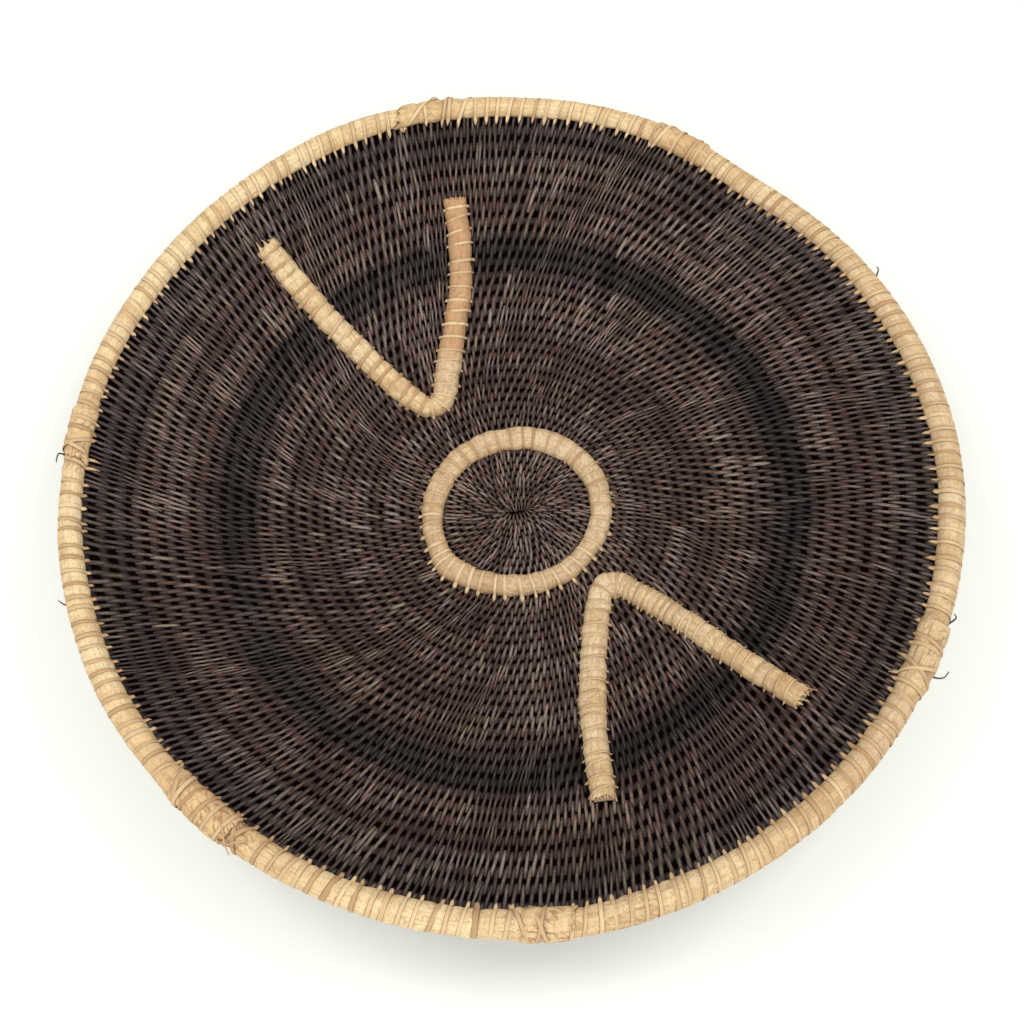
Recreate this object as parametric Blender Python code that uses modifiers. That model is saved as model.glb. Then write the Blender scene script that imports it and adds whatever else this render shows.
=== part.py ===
"""Coiled basket tray, in metres, +Z up, with the flat middle of its underside at the origin.

A foundation coil winds out from the middle, clockwise seen from above, and its pitch grows turn by
turn.  It is sewn in runs of plain and dyed strand, which are the separate runs of the wall here.  A
round core on the wall's edge is bound in six bark strips, lapped end over end.  Inside, a ring and
two V shapes of bark strip lie on the wall, each folded over a slim core of its own.
"""

import math

import bmesh
import bpy
import numpy as np

# Overall sizes
RIM_RADIUS = 0.190
RIM_HEIGHT = 0.052
WALL_THICKNESS = 0.005
BASE_RADIUS = 0.032
SEAT_GAP = 0.0003

# The wall's curve: the share of its rise that eases off again towards the rim
RIM_EASE_SHARE = 0.64

# The coil
START_PITCH = 0.00275
RIDGE_DEPTH = 0.0008
COIL_TURNS = 38
COIL_END_WIDTH = 0.001
COIL_START_AZIMUTH = math.radians(180)
COIL_FACETS = 28

# Where the strand changes from plain to dyed and back, as shares of the rim's radius, and how
# far in from the wall's edge it is dyed again
DYED_BAND_INNER_SHARE = 0.605
DYED_BAND_OUTER_SHARE = 0.695
DYED_EDGE_WIDTH = 0.018

# The side of the rim that is pressed in
PRESS_DEPTH = 0.005
PRESS_AZIMUTH = math.radians(47)
PRESS_HALF_ANGLE = math.radians(20)

# The rim roll and its strips
ROLL_DIAMETER = 0.0113
RIM_STRIP_THICKNESS = 0.0008
RIM_WRAP = math.radians(150)
RIM_STRIP_STARTS = tuple(math.radians(angle) for angle in (-142, -88, -18, 63, 101, 170))
RIM_SECTION_STEPS = 6
LAP_LENGTH = 0.012
LAP_RAMP = 0.005
LAP_SKEW = 0.004

# The ring and the V shapes
TRIM_THICKNESS = 0.0008
TRIM_SECTION_STEPS = 5
RING_LONG_RADIUS = 0.0385
RING_SHORT_RADIUS = 0.0360
RING_TILT = math.radians(25)
RING_CENTRE_X = 0.0026
RING_WIDTH = 0.0098
RING_HEIGHT = 0.0042
RING_FACETS = 36
V_WIDTH = 0.0105
V_HEIGHT = 0.0045
V_BEND_CLEARANCE = 0.0018
V_BEND_STEPS = 5
V_ARM_STEPS = 7

# The V shapes' apexes and arms, as shares of the rim's radius
UPPER_V_APEX_SHARES = (-0.168, 0.238)
UPPER_V_LEFT_SHARES = ((-0.288, 0.332), (-0.405, 0.439), (-0.513, 0.548), (-0.576, 0.620))
UPPER_V_RIGHT_SHARES = ((-0.142, 0.400), (-0.115, 0.545), (-0.110, 0.650), (-0.121, 0.764))
LOWER_V_APEX_SHARES = (0.211, -0.168)
LOWER_V_LEFT_SHARES = ((0.184, -0.330), (0.171, -0.480), (0.171, -0.600), (0.180, -0.722))
LOWER_V_RIGHT_SHARES = ((0.312, -0.242), (0.391, -0.309), (0.511, -0.426), (0.614, -0.522))

# Sizes that follow from the ones above
ROLL_RADIUS = ROLL_DIAMETER / 2
CORE_RADIUS = ROLL_RADIUS - RIM_STRIP_THICKNESS - SEAT_GAP
ROLL_CENTRE = RIM_RADIUS - ROLL_RADIUS
WALL_RISE = RIM_HEIGHT - WALL_THICKNESS / 2
LAP_LIFT = RIM_STRIP_THICKNESS + SEAT_GAP
RIM_FACETS = 3 * COIL_FACETS

# Finishes: colour, roughness
BROWN_STRAND = ((0.095, 0.060, 0.043), 0.70)
DYED_STRAND = ((0.028, 0.021, 0.019), 0.72)
PALE_BARK = ((0.640, 0.470, 0.290), 0.62)
CORE_CANE = ((0.300, 0.200, 0.120), 0.80)


# The wall's middle surface
def wall_height(radius):
    """Height of the middle of the wall's thickness, at an unpressed radius."""
    out = max(0.0, radius - BASE_RADIUS) / (ROLL_CENTRE - BASE_RADIUS)
    rise = (1 + RIM_EASE_SHARE) * out**2 - RIM_EASE_SHARE * out**3
    return WALL_THICKNESS / 2 + WALL_RISE * rise


def wall_slope(radius):
    """Angle of the wall to the level, at an unpressed radius."""
    span = ROLL_CENTRE - BASE_RADIUS
    out = max(0.0, radius - BASE_RADIUS) / span
    steepness = 2 * (1 + RIM_EASE_SHARE) * out - 3 * RIM_EASE_SHARE * out**2
    return math.atan(WALL_RISE * steepness / span)


RIM_SLOPE = wall_slope(ROLL_CENTRE)
WALL_RADIUS = ROLL_CENTRE - (CORE_RADIUS + SEAT_GAP) * math.cos(RIM_SLOPE)


def pressed(radius, azimuth):
    """Radius after the rim's pressed side, which fades away towards the middle."""
    turn = (azimuth - PRESS_AZIMUTH + math.pi) % (2 * math.pi) - math.pi
    fade = (min(radius, WALL_RADIUS) / WALL_RADIUS) ** 3
    return radius - PRESS_DEPTH * fade * math.exp(-((turn / PRESS_HALF_ANGLE) ** 2))


def wall_point(radius, azimuth, lift):
    """Point at a height measured square to the wall, from the middle of its thickness."""
    slope = wall_slope(radius)
    out = pressed(radius - lift * math.sin(slope), azimuth)
    height = wall_height(radius) + lift * math.cos(slope)
    return (out * math.cos(azimuth), out * math.sin(azimuth), height)


# The coil's spiral
PITCH_GROWTH = 2 * (WALL_RADIUS - START_PITCH * COIL_TURNS) / COIL_TURNS**2


def spiral_radius(turns):
    return min(WALL_RADIUS, START_PITCH * turns + PITCH_GROWTH * turns**2 / 2)


def spiral_turns(radius):
    """Turns that the spiral has made where it reaches a radius."""
    return (math.sqrt(START_PITCH**2 + 2 * PITCH_GROWTH * radius) - START_PITCH) / PITCH_GROWTH


def spiral_step(radius):
    """Number of the spiral's facet at which it reaches a radius."""
    return round(COIL_FACETS * spiral_turns(radius))


def finish(name, colour_roughness):
    colour, roughness = colour_roughness
    material = bpy.data.materials.new(name + "_finish")
    material.use_nodes = True
    surface = material.node_tree.nodes["Principled BSDF"]
    surface.inputs["Base Color"].default_value = (*colour, 1.0)
    surface.inputs["Roughness"].default_value = roughness
    surface.inputs["Metallic"].default_value = 0.0
    material.diffuse_color = (*colour, 1.0)
    return material


def place(name, shape, colour_roughness):
    """Turns a bmesh into a named object of the basket."""
    mesh = bpy.data.meshes.new(name)
    shape.to_mesh(mesh)
    shape.free()
    mesh.shade_smooth()
    mesh.set_sharp_from_angle(angle=math.radians(50))
    mesh.materials.append(finish(name, colour_roughness))
    piece = bpy.data.objects.new(name, mesh)
    basket.objects.link(piece)
    return piece


class CoilRun:
    """A run of the wall's coil as one ridged band, from one step of the spiral to another."""

    def __init__(self, first, last, is_start=False, is_end=False):
        self.first = first
        self.last = last
        self.is_start = is_start
        self.is_end = is_end
        self.shape = bmesh.new()
        self.made = {}

    def azimuth(self, step, radius):
        """Azimuth of a step, drawn back at the run's two ends to clear the next run."""
        back = 0
        if step in (self.first, self.first + COIL_FACETS) and not self.is_start:
            back = -SEAT_GAP / 2
        if step in (self.last, self.last + COIL_FACETS) and not self.is_end:
            back = SEAT_GAP / 2
        return COIL_START_AZIMUTH - 2 * math.pi * step / COIL_FACETS + back / radius

    def valley_radius(self, step):
        radius = spiral_radius(step / COIL_FACETS)
        if step <= self.first + COIL_FACETS and not self.is_start:
            radius += SEAT_GAP / 2
        if step >= self.last and not self.is_end:
            radius -= SEAT_GAP / 2
        return radius

    def corner(self, kind, step, side):
        """Vertex in the valley at a step, or on the ridge of the coil beyond it, on side 1 or -1."""
        key = (kind, step, side)
        if key not in self.made:
            radius = self.valley_radius(step)
            depth = RIDGE_DEPTH
            azimuth = self.azimuth(step, radius)
            if kind == "ridge":
                radius = (radius + self.valley_radius(step + COIL_FACETS)) / 2
                depth = 0.0
            if side < 0 and self.is_start:
                depth = 0.0
            point = wall_point(radius, azimuth, side * (WALL_THICKNESS / 2 - depth))
            self.made[key] = self.shape.verts.new(point)
        return self.made[key]

    def face(self, *corners):
        self.shape.faces.new([self.corner(*corner) for corner in corners])

    def skin(self, step, side):
        """The two sloping strips of one facet of the coil, valley to ridge to valley."""
        ahead = step + 1
        beyond = step + COIL_FACETS
        self.face(
            ("valley", step, side),
            ("valley", ahead, side),
            ("ridge", ahead, side),
            ("ridge", step, side),
        )
        self.face(
            ("ridge", step, side),
            ("ridge", ahead, side),
            ("valley", beyond + 1, side),
            ("valley", beyond, side),
        )

    def edge(self, step):
        """One facet of the run's inner or outer edge."""
        ahead = step + 1
        self.face(("valley", step, 1), ("valley", ahead, 1), ("valley", ahead, -1), ("valley", step, -1))

    def cut_end(self, step, under_ridge=True):
        """The cut across the coil at one end of the run."""
        beyond = step + COIL_FACETS
        upper = [("valley", step, 1), ("ridge", step, 1), ("valley", beyond, 1)]
        lower = [("valley", beyond, -1), ("ridge", step, -1), ("valley", step, -1)]
        if not under_ridge:
            lower.pop(1)
        self.face(*upper, *lower)

    def close_middle(self):
        """The coil's tight first turn, gathered to a point above, and the flat base below."""
        middle = self.shape.verts.new((0.0, 0.0, WALL_THICKNESS))
        rim = [self.corner("valley", step, 1) for step in range(self.first, self.first + COIL_FACETS + 1)]
        rim.append(self.corner("ridge", self.first, 1))
        for here, ahead in zip(rim, rim[1:] + rim[:1]):
            self.shape.faces.new((middle, here, ahead))
        base = range(self.last, self.last + COIL_FACETS + 1)
        self.face(*[("valley", step, -1) for step in base])

    def build(self):
        for step in range(self.first, self.last):
            self.skin(step, 1)
            if not self.is_start:
                self.skin(step, -1)
                if step < self.first + COIL_FACETS:
                    self.edge(step)
            if step >= self.last - COIL_FACETS:
                self.edge(step + COIL_FACETS)
        if self.is_start:
            self.close_middle()
        else:
            self.cut_end(self.first)
        self.cut_end(self.last, under_ridge=not self.is_start)
        bmesh.ops.recalc_face_normals(self.shape, faces=self.shape.faces)
        return self.shape


def make_wall():
    base_end = spiral_step(BASE_RADIUS) - COIL_FACETS
    band_start = spiral_step(RIM_RADIUS * DYED_BAND_INNER_SHARE)
    band_end = spiral_step(RIM_RADIUS * DYED_BAND_OUTER_SHARE)
    edge_start = spiral_step(WALL_RADIUS - DYED_EDGE_WIDTH)
    coil_end = spiral_step(WALL_RADIUS - COIL_END_WIDTH)
    place("coil_start", CoilRun(COIL_FACETS, base_end, is_start=True).build(), BROWN_STRAND)
    place("coil_inner", CoilRun(base_end, band_start).build(), BROWN_STRAND)
    place("coil_dyed_band", CoilRun(band_start, band_end).build(), DYED_STRAND)
    place("coil_outer", CoilRun(band_end, edge_start).build(), BROWN_STRAND)
    place("coil_dyed_edge", CoilRun(edge_start, coil_end, is_end=True).build(), DYED_STRAND)


def roll_point(azimuth, around, radius):
    """Point round the rim roll: around is 0 on the outside and grows over the top."""
    turned = around + RIM_SLOPE
    out = pressed(ROLL_CENTRE + radius * math.cos(turned), azimuth)
    height = RIM_HEIGHT + radius * math.sin(turned)
    return (out * math.cos(azimuth), out * math.sin(azimuth), height)


def section_shares(steps):
    """Even shares from 1 down to -1."""
    return [1 - 2 * index / steps for index in range(steps + 1)]


def sheet(rows, closed=False):
    """An open surface through rows of points, joined row to row."""
    shape = bmesh.new()
    rails = [[shape.verts.new(point) for point in row] for row in rows]
    pairs = list(zip(rails, rails[1:]))
    if closed:
        pairs.append((rails[-1], rails[0]))
    for near, far in pairs:
        for index in range(len(near) - 1):
            shape.faces.new((near[index], near[index + 1], far[index + 1], far[index]))
    return shape


def solid(rows, closed=False):
    """A closed body through rows of points, each row a closed outline."""
    shape = sheet([[*row, row[0]] for row in rows], closed)
    bmesh.ops.remove_doubles(shape, verts=shape.verts, dist=SEAT_GAP / 10)
    if not closed:
        bmesh.ops.holes_fill(shape, edges=[edge for edge in shape.edges if edge.is_boundary])
    bmesh.ops.recalc_face_normals(shape, faces=shape.faces)
    return shape


def make_rim_core():
    """The round core, whose facets lie square under those of the strips."""
    around = [RIM_WRAP * share for share in section_shares(RIM_SECTION_STEPS)] + [math.pi]
    rows = []
    for step in range(RIM_FACETS):
        azimuth = 2 * math.pi * step / RIM_FACETS
        rows.append([roll_point(azimuth, angle, CORE_RADIUS) for angle in around])
    place("rim_core", solid(rows, closed=True), CORE_CANE)


def thicken(piece, thickness):
    wall = piece.modifiers.new("strip_thickness", "SOLIDIFY")
    wall.thickness = thickness
    wall.offset = 0.0


def lap_lift(azimuth, lap_start):
    """How far a strip stands off its core as its tail climbs over the next strip's head."""
    climb = (azimuth - lap_start) / (LAP_RAMP / ROLL_CENTRE) + 1
    return LAP_LIFT * min(1.0, max(0.0, climb))


def make_rim_strip(number, start, next_start):
    """A strip folded over the core, its head under the last strip's tail, and its cut ends on the skew."""
    skew = LAP_SKEW / ROLL_CENTRE
    lap_start = next_start - skew
    lap_end = next_start + LAP_LENGTH / ROLL_CENTRE
    ramp_start = lap_start - LAP_RAMP / ROLL_CENTRE
    facet = 2 * math.pi / RIM_FACETS
    grid = [facet * step for step in range(math.ceil(start / facet), math.ceil(ramp_start / facet))]
    stations = [start, *grid, ramp_start, lap_start, lap_end]
    rows = []
    for station in stations:
        row = []
        for share in section_shares(RIM_SECTION_STEPS):
            azimuth = station
            if station in (start, lap_end):
                azimuth = station + skew * share
            stand = CORE_RADIUS + SEAT_GAP + RIM_STRIP_THICKNESS / 2 + lap_lift(station, lap_start)
            row.append(roll_point(azimuth, RIM_WRAP * share, stand))
        rows.append(row)
    piece = place(f"rim_strip_{number}", sheet(rows), PALE_BARK)
    thicken(piece, RIM_STRIP_THICKNESS)


def make_rim_strips():
    ends = RIM_STRIP_STARTS[1:] + (RIM_STRIP_STARTS[0] + 2 * math.pi,)
    for number, (start, next_start) in enumerate(zip(RIM_STRIP_STARTS, ends), 1):
        make_rim_strip(number, start, next_start)


# Strips laid on the inside of the wall
def seat(point):
    """Point on the tops of the coil's ridges, and the wall's upward normal, at an x and y."""
    radius = np.hypot(*point) / math.cos(math.pi / COIL_FACETS)
    slope = wall_slope(radius)
    out = np.array(point) / np.hypot(*point)
    height = wall_height(radius) + WALL_THICKNESS / 2 / math.cos(slope) + SEAT_GAP
    normal = np.array((*(-math.sin(slope) * out), math.cos(slope)))
    return np.array((*point, height)), normal


def trim_rows(route, width, height, steps, closed=False):
    """Half-round sections along a route on the wall, each from one foot over the top to the other."""
    rows = []
    for index, point in enumerate(route):
        ahead = route[(index + 1) % len(route)] if closed or index + 1 < len(route) else point
        behind = route[index - 1] if closed or index else point
        foot, normal = seat(point)
        along = np.array((*(np.array(ahead) - np.array(behind)), 0.0))
        across = np.cross(along, normal)
        across /= np.linalg.norm(across)
        row = []
        for step in range(steps + 1):
            angle = math.pi * step / steps
            row.append(foot + width / 2 * math.cos(angle) * across + height * math.sin(angle) * normal)
        rows.append(row)
    return rows


def lay_trim(name, route, width, height, closed=False):
    """A bark strip folded over a slim core, laid along a route on the wall."""
    strip_rows = trim_rows(
        route, width - TRIM_THICKNESS, height - TRIM_THICKNESS / 2, TRIM_SECTION_STEPS, closed
    )
    thicken(place(name + "_strip", sheet(strip_rows, closed), PALE_BARK), TRIM_THICKNESS)
    inset = TRIM_THICKNESS + SEAT_GAP
    core_rows = trim_rows(route, width - 2 * inset, height - inset, TRIM_SECTION_STEPS, closed)
    place(name + "_core", solid(core_rows, closed), CORE_CANE)


def ring_route():
    route = []
    for step in range(RING_FACETS):
        angle = 2 * math.pi * step / RING_FACETS
        long, short = RING_LONG_RADIUS * math.cos(angle), RING_SHORT_RADIUS * math.sin(angle)
        x = long * math.cos(RING_TILT) - short * math.sin(RING_TILT)
        y = long * math.sin(RING_TILT) + short * math.cos(RING_TILT)
        route.append((RING_CENTRE_X + x, y))
    return route


def smooth_arm(start, shares):
    """Even steps along a smooth curve from the end of the bend through the arm's points."""
    knots = np.array([start, *(np.array(shares) * RIM_RADIUS)])
    knots = np.vstack([2 * knots[0] - knots[1], knots, 2 * knots[-1] - knots[-2]])
    points = []
    spans = len(knots) - 3
    for place_along in np.linspace(0, spans, V_ARM_STEPS):
        span = min(int(place_along), spans - 1)
        t = place_along - span
        before, here, ahead, after = knots[span : span + 4]
        bend = 2 * before - 5 * here + 4 * ahead - after
        twist = 3 * here - before - 3 * ahead + after
        points.append((2 * here + (ahead - before) * t + bend * t**2 + twist * t**3) / 2)
    return points


def v_route(apex_shares, left_shares, right_shares):
    """Left arm from its end to the apex, a bend as tight as the strip allows, and the right arm."""
    apex = np.array(apex_shares) * RIM_RADIUS
    arms = [np.array(shares[0]) * RIM_RADIUS - apex for shares in (left_shares, right_shares)]
    left, right = [arm / np.linalg.norm(arm) for arm in arms]
    half_angle = math.acos(float(left @ right)) / 2
    bend_radius = V_WIDTH / 2 + V_BEND_CLEARANCE
    centre = apex + (left + right) / np.linalg.norm(left + right) * bend_radius / math.sin(half_angle)
    left_touch = apex + left * bend_radius / math.tan(half_angle)
    right_touch = apex + right * bend_radius / math.tan(half_angle)
    from_angle = math.atan2(*(left_touch - centre)[::-1])
    turn = math.atan2(*(right_touch - centre)[::-1]) - from_angle
    turn = (turn + math.pi) % (2 * math.pi) - math.pi
    bend = []
    for step in range(1, V_BEND_STEPS):
        angle = from_angle + turn * step / V_BEND_STEPS
        bend.append(centre + bend_radius * np.array((math.cos(angle), math.sin(angle))))
    left_arm = smooth_arm(left_touch, left_shares)
    right_arm = smooth_arm(right_touch, right_shares)
    return [tuple(point) for point in [*reversed(left_arm), *bend, *right_arm]]


def make_trim():
    lay_trim("ring", ring_route(), RING_WIDTH, RING_HEIGHT, closed=True)
    upper = v_route(UPPER_V_APEX_SHARES, UPPER_V_LEFT_SHARES, UPPER_V_RIGHT_SHARES)
    lower = v_route(LOWER_V_APEX_SHARES, LOWER_V_LEFT_SHARES, LOWER_V_RIGHT_SHARES)
    lay_trim("upper_v", upper, V_WIDTH, V_HEIGHT)
    lay_trim("lower_v", lower, V_WIDTH, V_HEIGHT)


for old in list(bpy.data.objects):
    bpy.data.objects.remove(old)
basket = bpy.data.collections.new("coiled_basket")
bpy.context.scene.collection.children.link(basket)

make_wall()
make_rim_core()
make_rim_strips()
make_trim()
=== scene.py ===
"""Coiled basket tray, dressed: every stitch of the coil, the bark strips and their lashings.

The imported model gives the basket's frame.  The coil, its stitches and the bark strips are made
here again in full, on the same curves and in the same places.
"""

import bisect
import math

import bmesh
import bpy
import numpy as np
from mathutils import Matrix, Vector, noise


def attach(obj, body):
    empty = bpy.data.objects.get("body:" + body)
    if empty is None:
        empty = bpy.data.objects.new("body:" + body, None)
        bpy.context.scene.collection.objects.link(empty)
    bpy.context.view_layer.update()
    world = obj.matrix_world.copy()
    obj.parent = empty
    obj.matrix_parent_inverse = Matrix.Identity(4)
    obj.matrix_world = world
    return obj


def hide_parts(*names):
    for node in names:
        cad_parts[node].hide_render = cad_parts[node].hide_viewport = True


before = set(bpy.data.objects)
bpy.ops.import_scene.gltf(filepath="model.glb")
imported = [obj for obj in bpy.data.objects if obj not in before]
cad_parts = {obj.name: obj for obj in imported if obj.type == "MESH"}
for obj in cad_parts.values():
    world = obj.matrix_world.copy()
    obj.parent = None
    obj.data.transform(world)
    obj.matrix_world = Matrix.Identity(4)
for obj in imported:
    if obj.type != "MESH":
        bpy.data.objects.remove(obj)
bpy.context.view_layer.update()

chance = np.random.default_rng(38)
TURN = 2 * math.pi

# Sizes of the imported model
RIM_RADIUS = 0.190
RIM_HEIGHT = 0.052
WALL_THICKNESS = 0.005
BASE_RADIUS = 0.032
RIM_EASE_SHARE = 0.64
START_PITCH = 0.00275
COIL_TURNS = 38
COIL_START_AZIMUTH = math.radians(180)
PRESS_DEPTH = 0.005
PRESS_AZIMUTH = math.radians(47)
PRESS_HALF_ANGLE = math.radians(20)
ROLL_RADIUS = 0.00565
CORE_RADIUS = 0.00455
RIM_WRAP = math.radians(150)
ROLL_CENTRE = RIM_RADIUS - ROLL_RADIUS
WALL_RISE = RIM_HEIGHT - WALL_THICKNESS / 2

# The coil's runs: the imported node, where it ends, its strand, and how much paler it has worn
COIL_RUNS = (
    ("coil_start", 0.0285, "brown", 0.01),
    ("coil_inner", 0.115, "brown", -0.04),
    ("coil_dyed_band", 0.132, "dyed", -0.12),
    ("coil_outer", 0.162, "brown", -0.05),
    ("coil_dyed_edge", 0.185, "faded", 0.0),
)


def in_mm(angles, *rows):
    """A table's rows: first so many angles in degrees, then lengths written in millimetres."""
    return tuple((*row[:angles], *(length / 1000 for length in row[angles:])) for row in rows)


# Unevenness of the hand-made rim: azimuth, how far out it stands, how much fuller the roll is
RIM_WAVER = in_mm(
    1,
    (0, 1, 0), (12, 0.3, 0.1), (24, -0.3, 0.2), (36, 0.9, -0.4), (45, -0.3, 0), (52, -2.3, 0.4),
    (59, 0.3, -0.6), (66, 1, -0.2), (75, 1.6, -0.6), (87, 1.1, -0.4), (96, 2.1, -0.2),
    (102, 3.2, -1.7), (108, 2.8, -0.2), (114, 2.7, 0.1), (121, 1.4, -0.1), (132, 0.9, -0.2),
    (143, -0.1, 0.1), (154, 0, -0.3), (164, 1, -0.5), (176, 0.6, -0.9), (188, 1.3, -0.5),
    (198, 1.2, -0.2), (210, 1.4, 0), (222, 0.8, -0.5), (232, 0.4, 0.3), (243, 0.4, -0.3),
    (256, 0.2, 0), (270, 0.6, -0.2), (277, 1.8, -0.3), (286, 0.5, 0.3), (300, 0.1, 0.1),
    (312, 0.2, 0), (322, 0.1, 0.1), (333, 0.6, -0.5), (345, 0.5, 0), (354, 0.9, 0.1),
)


def smooth(low, high, value):
    share = np.clip((value - low) / (high - low), 0, 1)
    return share * share * (3 - 2 * share)


def bell(offset):
    """1 at no offset, and falling away on both sides over about one unit."""
    return np.exp(-(offset**2))


def unit(vectors):
    return vectors / np.maximum(np.linalg.norm(vectors, axis=-1, keepdims=True), 1e-12)


def round_gap(first, second):
    """Angle from the first azimuth to the second, within half a turn."""
    return (second - first + math.pi) % TURN - math.pi


def polar(radius, azimuth, height):
    """Points or directions by their distance from the middle, azimuth and height."""
    places = radius * np.cos(azimuth), radius * np.sin(azimuth), height
    return np.stack(np.broadcast_arrays(*places), -1)


def wall_height(radius):
    out = np.clip(radius - BASE_RADIUS, 0, None) / (ROLL_CENTRE - BASE_RADIUS)
    rise = (1 + RIM_EASE_SHARE) * out**2 - RIM_EASE_SHARE * out**3
    return WALL_THICKNESS / 2 + WALL_RISE * rise


def wall_slope(radius):
    span = ROLL_CENTRE - BASE_RADIUS
    out = np.clip(radius - BASE_RADIUS, 0, None) / span
    rise = 2 * (1 + RIM_EASE_SHARE) * out - 3 * RIM_EASE_SHARE * out**2
    return np.arctan(WALL_RISE * rise / span)


RIM_SLOPE = float(wall_slope(ROLL_CENTRE))
WALL_RADIUS = ROLL_CENTRE - (CORE_RADIUS + 0.0003) * math.cos(RIM_SLOPE)
PITCH_GROWTH = 2 * (WALL_RADIUS - START_PITCH * COIL_TURNS) / COIL_TURNS**2
WAVER_PLACES = np.linspace(0, TURN, 720, endpoint=False)


def evened(table, column):
    """One column of a table of unevenness, smoothed all the way round."""
    places, values = (np.array([row[k] for row in table]) for k in (0, column))
    values = np.interp(WAVER_PLACES, np.radians(places), values, period=TURN)
    for _ in range(50):
        values = (np.roll(values, 1) + 2 * values + np.roll(values, -1)) / 4
    return values


RIM_OUT = evened(RIM_WAVER, 1)
RIM_FULLER = evened(RIM_WAVER, 2)


def round_rim(values, azimuth):
    return np.interp(azimuth, WAVER_PLACES, values, period=TURN)


def pressed(radius, azimuth):
    fade = (np.minimum(radius, WALL_RADIUS) / WALL_RADIUS) ** 3
    dent = PRESS_DEPTH * bell(round_gap(PRESS_AZIMUTH, azimuth) / PRESS_HALF_ANGLE)
    return radius + fade * (round_rim(RIM_OUT, azimuth) - dent)


# The coil starts on a folded bundle, so its first turns lie round a short slit, a little off centre
SLIT_HALF_LENGTH = 0.0042
SLIT_REACH = 0.0120
SLIT_TURN = math.radians(6.4)
MIDDLE_SHIFT = 0.0031
SHIFT_REACH = 0.05


def wall_normal(radius, azimuth):
    slope = wall_slope(radius)
    return polar(-np.sin(slope), azimuth, np.cos(slope))


def on_wall(radius, azimuth, lift):
    """Points at a height square to the wall from the middle of its thickness, and its normals."""
    radius, azimuth, lift = np.broadcast_arrays(radius, azimuth, lift)
    slope = wall_slope(radius)
    out = pressed(radius - lift * np.sin(slope), azimuth)
    slit = SLIT_HALF_LENGTH * bell(radius / SLIT_REACH) * np.cos(azimuth - SLIT_TURN)
    shift = MIDDLE_SHIFT * bell((radius / SHIFT_REACH) ** 2)
    x = out * np.cos(azimuth) + slit * math.cos(SLIT_TURN) + shift
    y = out * np.sin(azimuth) + slit * math.sin(SLIT_TURN)
    points = np.stack((x, y, wall_height(radius) + lift * np.cos(slope)), -1)
    return points, wall_normal(radius, azimuth)


def coil_radius(turns):
    return START_PITCH * turns + PITCH_GROWTH * turns**2 / 2


def coil_azimuth(turns):
    return COIL_START_AZIMUTH - TURN * turns


# Finishes
class Value:
    """A socket in a finish.  Sums on it add Math nodes."""

    def __init__(self, finish, socket):
        self.finish = finish
        self.socket = socket

    def __add__(self, other):
        return self.finish.math("ADD", self, other)

    def __sub__(self, other):
        return self.finish.math("SUBTRACT", self, other)

    def __rsub__(self, other):
        return self.finish.math("SUBTRACT", other, self)

    def __mul__(self, other):
        return self.finish.math("MULTIPLY", self, other)

    __radd__ = __add__
    __rmul__ = __mul__


class Finish:
    """One material of the basket, the name of a slot kept with it, and its colour as painted so
    far.
    """

    def __init__(self, name, slot, colour):
        self.slot = slot
        self.colour = colour
        self.material = bpy.data.materials.new(name)
        self.material.use_nodes = True
        self.tree = self.material.node_tree
        self.surface = self.tree.nodes["Principled BSDF"]

    def plug(self, socket, value):
        """Links a socket to a value, or sets it; a colour is three numbers."""
        if isinstance(value, Value):
            self.tree.links.new(value.socket, socket)
        else:
            socket.default_value = (*value, 1.0) if socket.type == "RGBA" else value

    def node(self, kind, settings=None, sockets=None, output=0):
        made = self.tree.nodes.new("ShaderNode" + kind)
        for name, value in (settings or {}).items():
            setattr(made, name, value)
        for name, value in (sockets or {}).items():
            self.plug(made.inputs[name], value)
        return Value(self, made.outputs[output])

    def math(self, operation, *values):
        return self.node("Math", {"operation": operation}, dict(enumerate(values)))

    def fit(self, value, low, high):
        """0 to 1 as a value goes from low to high, with an eased start and end."""
        sockets = {"Value": value, 1: low, 2: high}
        return self.node("MapRange", {"interpolation_type": "SMOOTHSTEP"}, sockets)

    def attributes(self, *names):
        return [self.node("Attribute", {"attribute_name": name}, output=2) for name in names]

    def noise(self, place, detail, roughness, scale=1.0):
        """Noise at a place, or at three values taken as one."""
        if isinstance(place, tuple):
            place = self.node("CombineXYZ", {}, dict(enumerate(place)))
        sockets = {"Vector": place, "Scale": scale, "Detail": detail, "Roughness": roughness}
        return self.node("TexNoise", {}, sockets)

    def paint(self, share, colour, blend="MIX"):
        """Lays a share of another colour over what is painted so far."""
        settings = {"data_type": "RGBA", "blend_type": blend}
        sockets = {0: share, 6: self.colour, 7: colour}
        self.colour = self.node("Mix", settings, sockets, output=2)

    def place(self):
        return self.node("TexCoord", output=3)

    def finish(self, roughness, bump, strength, depth, specular):
        height = {"Height": bump, "Strength": strength, "Distance": depth}
        inputs = {
            "Base Color": self.colour,
            "Roughness": roughness,
            "Specular IOR Level": specular,
            "Normal": self.node("Bump", {}, height),
        }
        for name, value in inputs.items():
            self.plug(self.surface.inputs[name], value)
        return self


# Black painted for shade down the sides of strands and bundles, and where stitches dive
PAINTED_SHADE_BLACK = (0.003, 0.0012, 0.0012)


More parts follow.
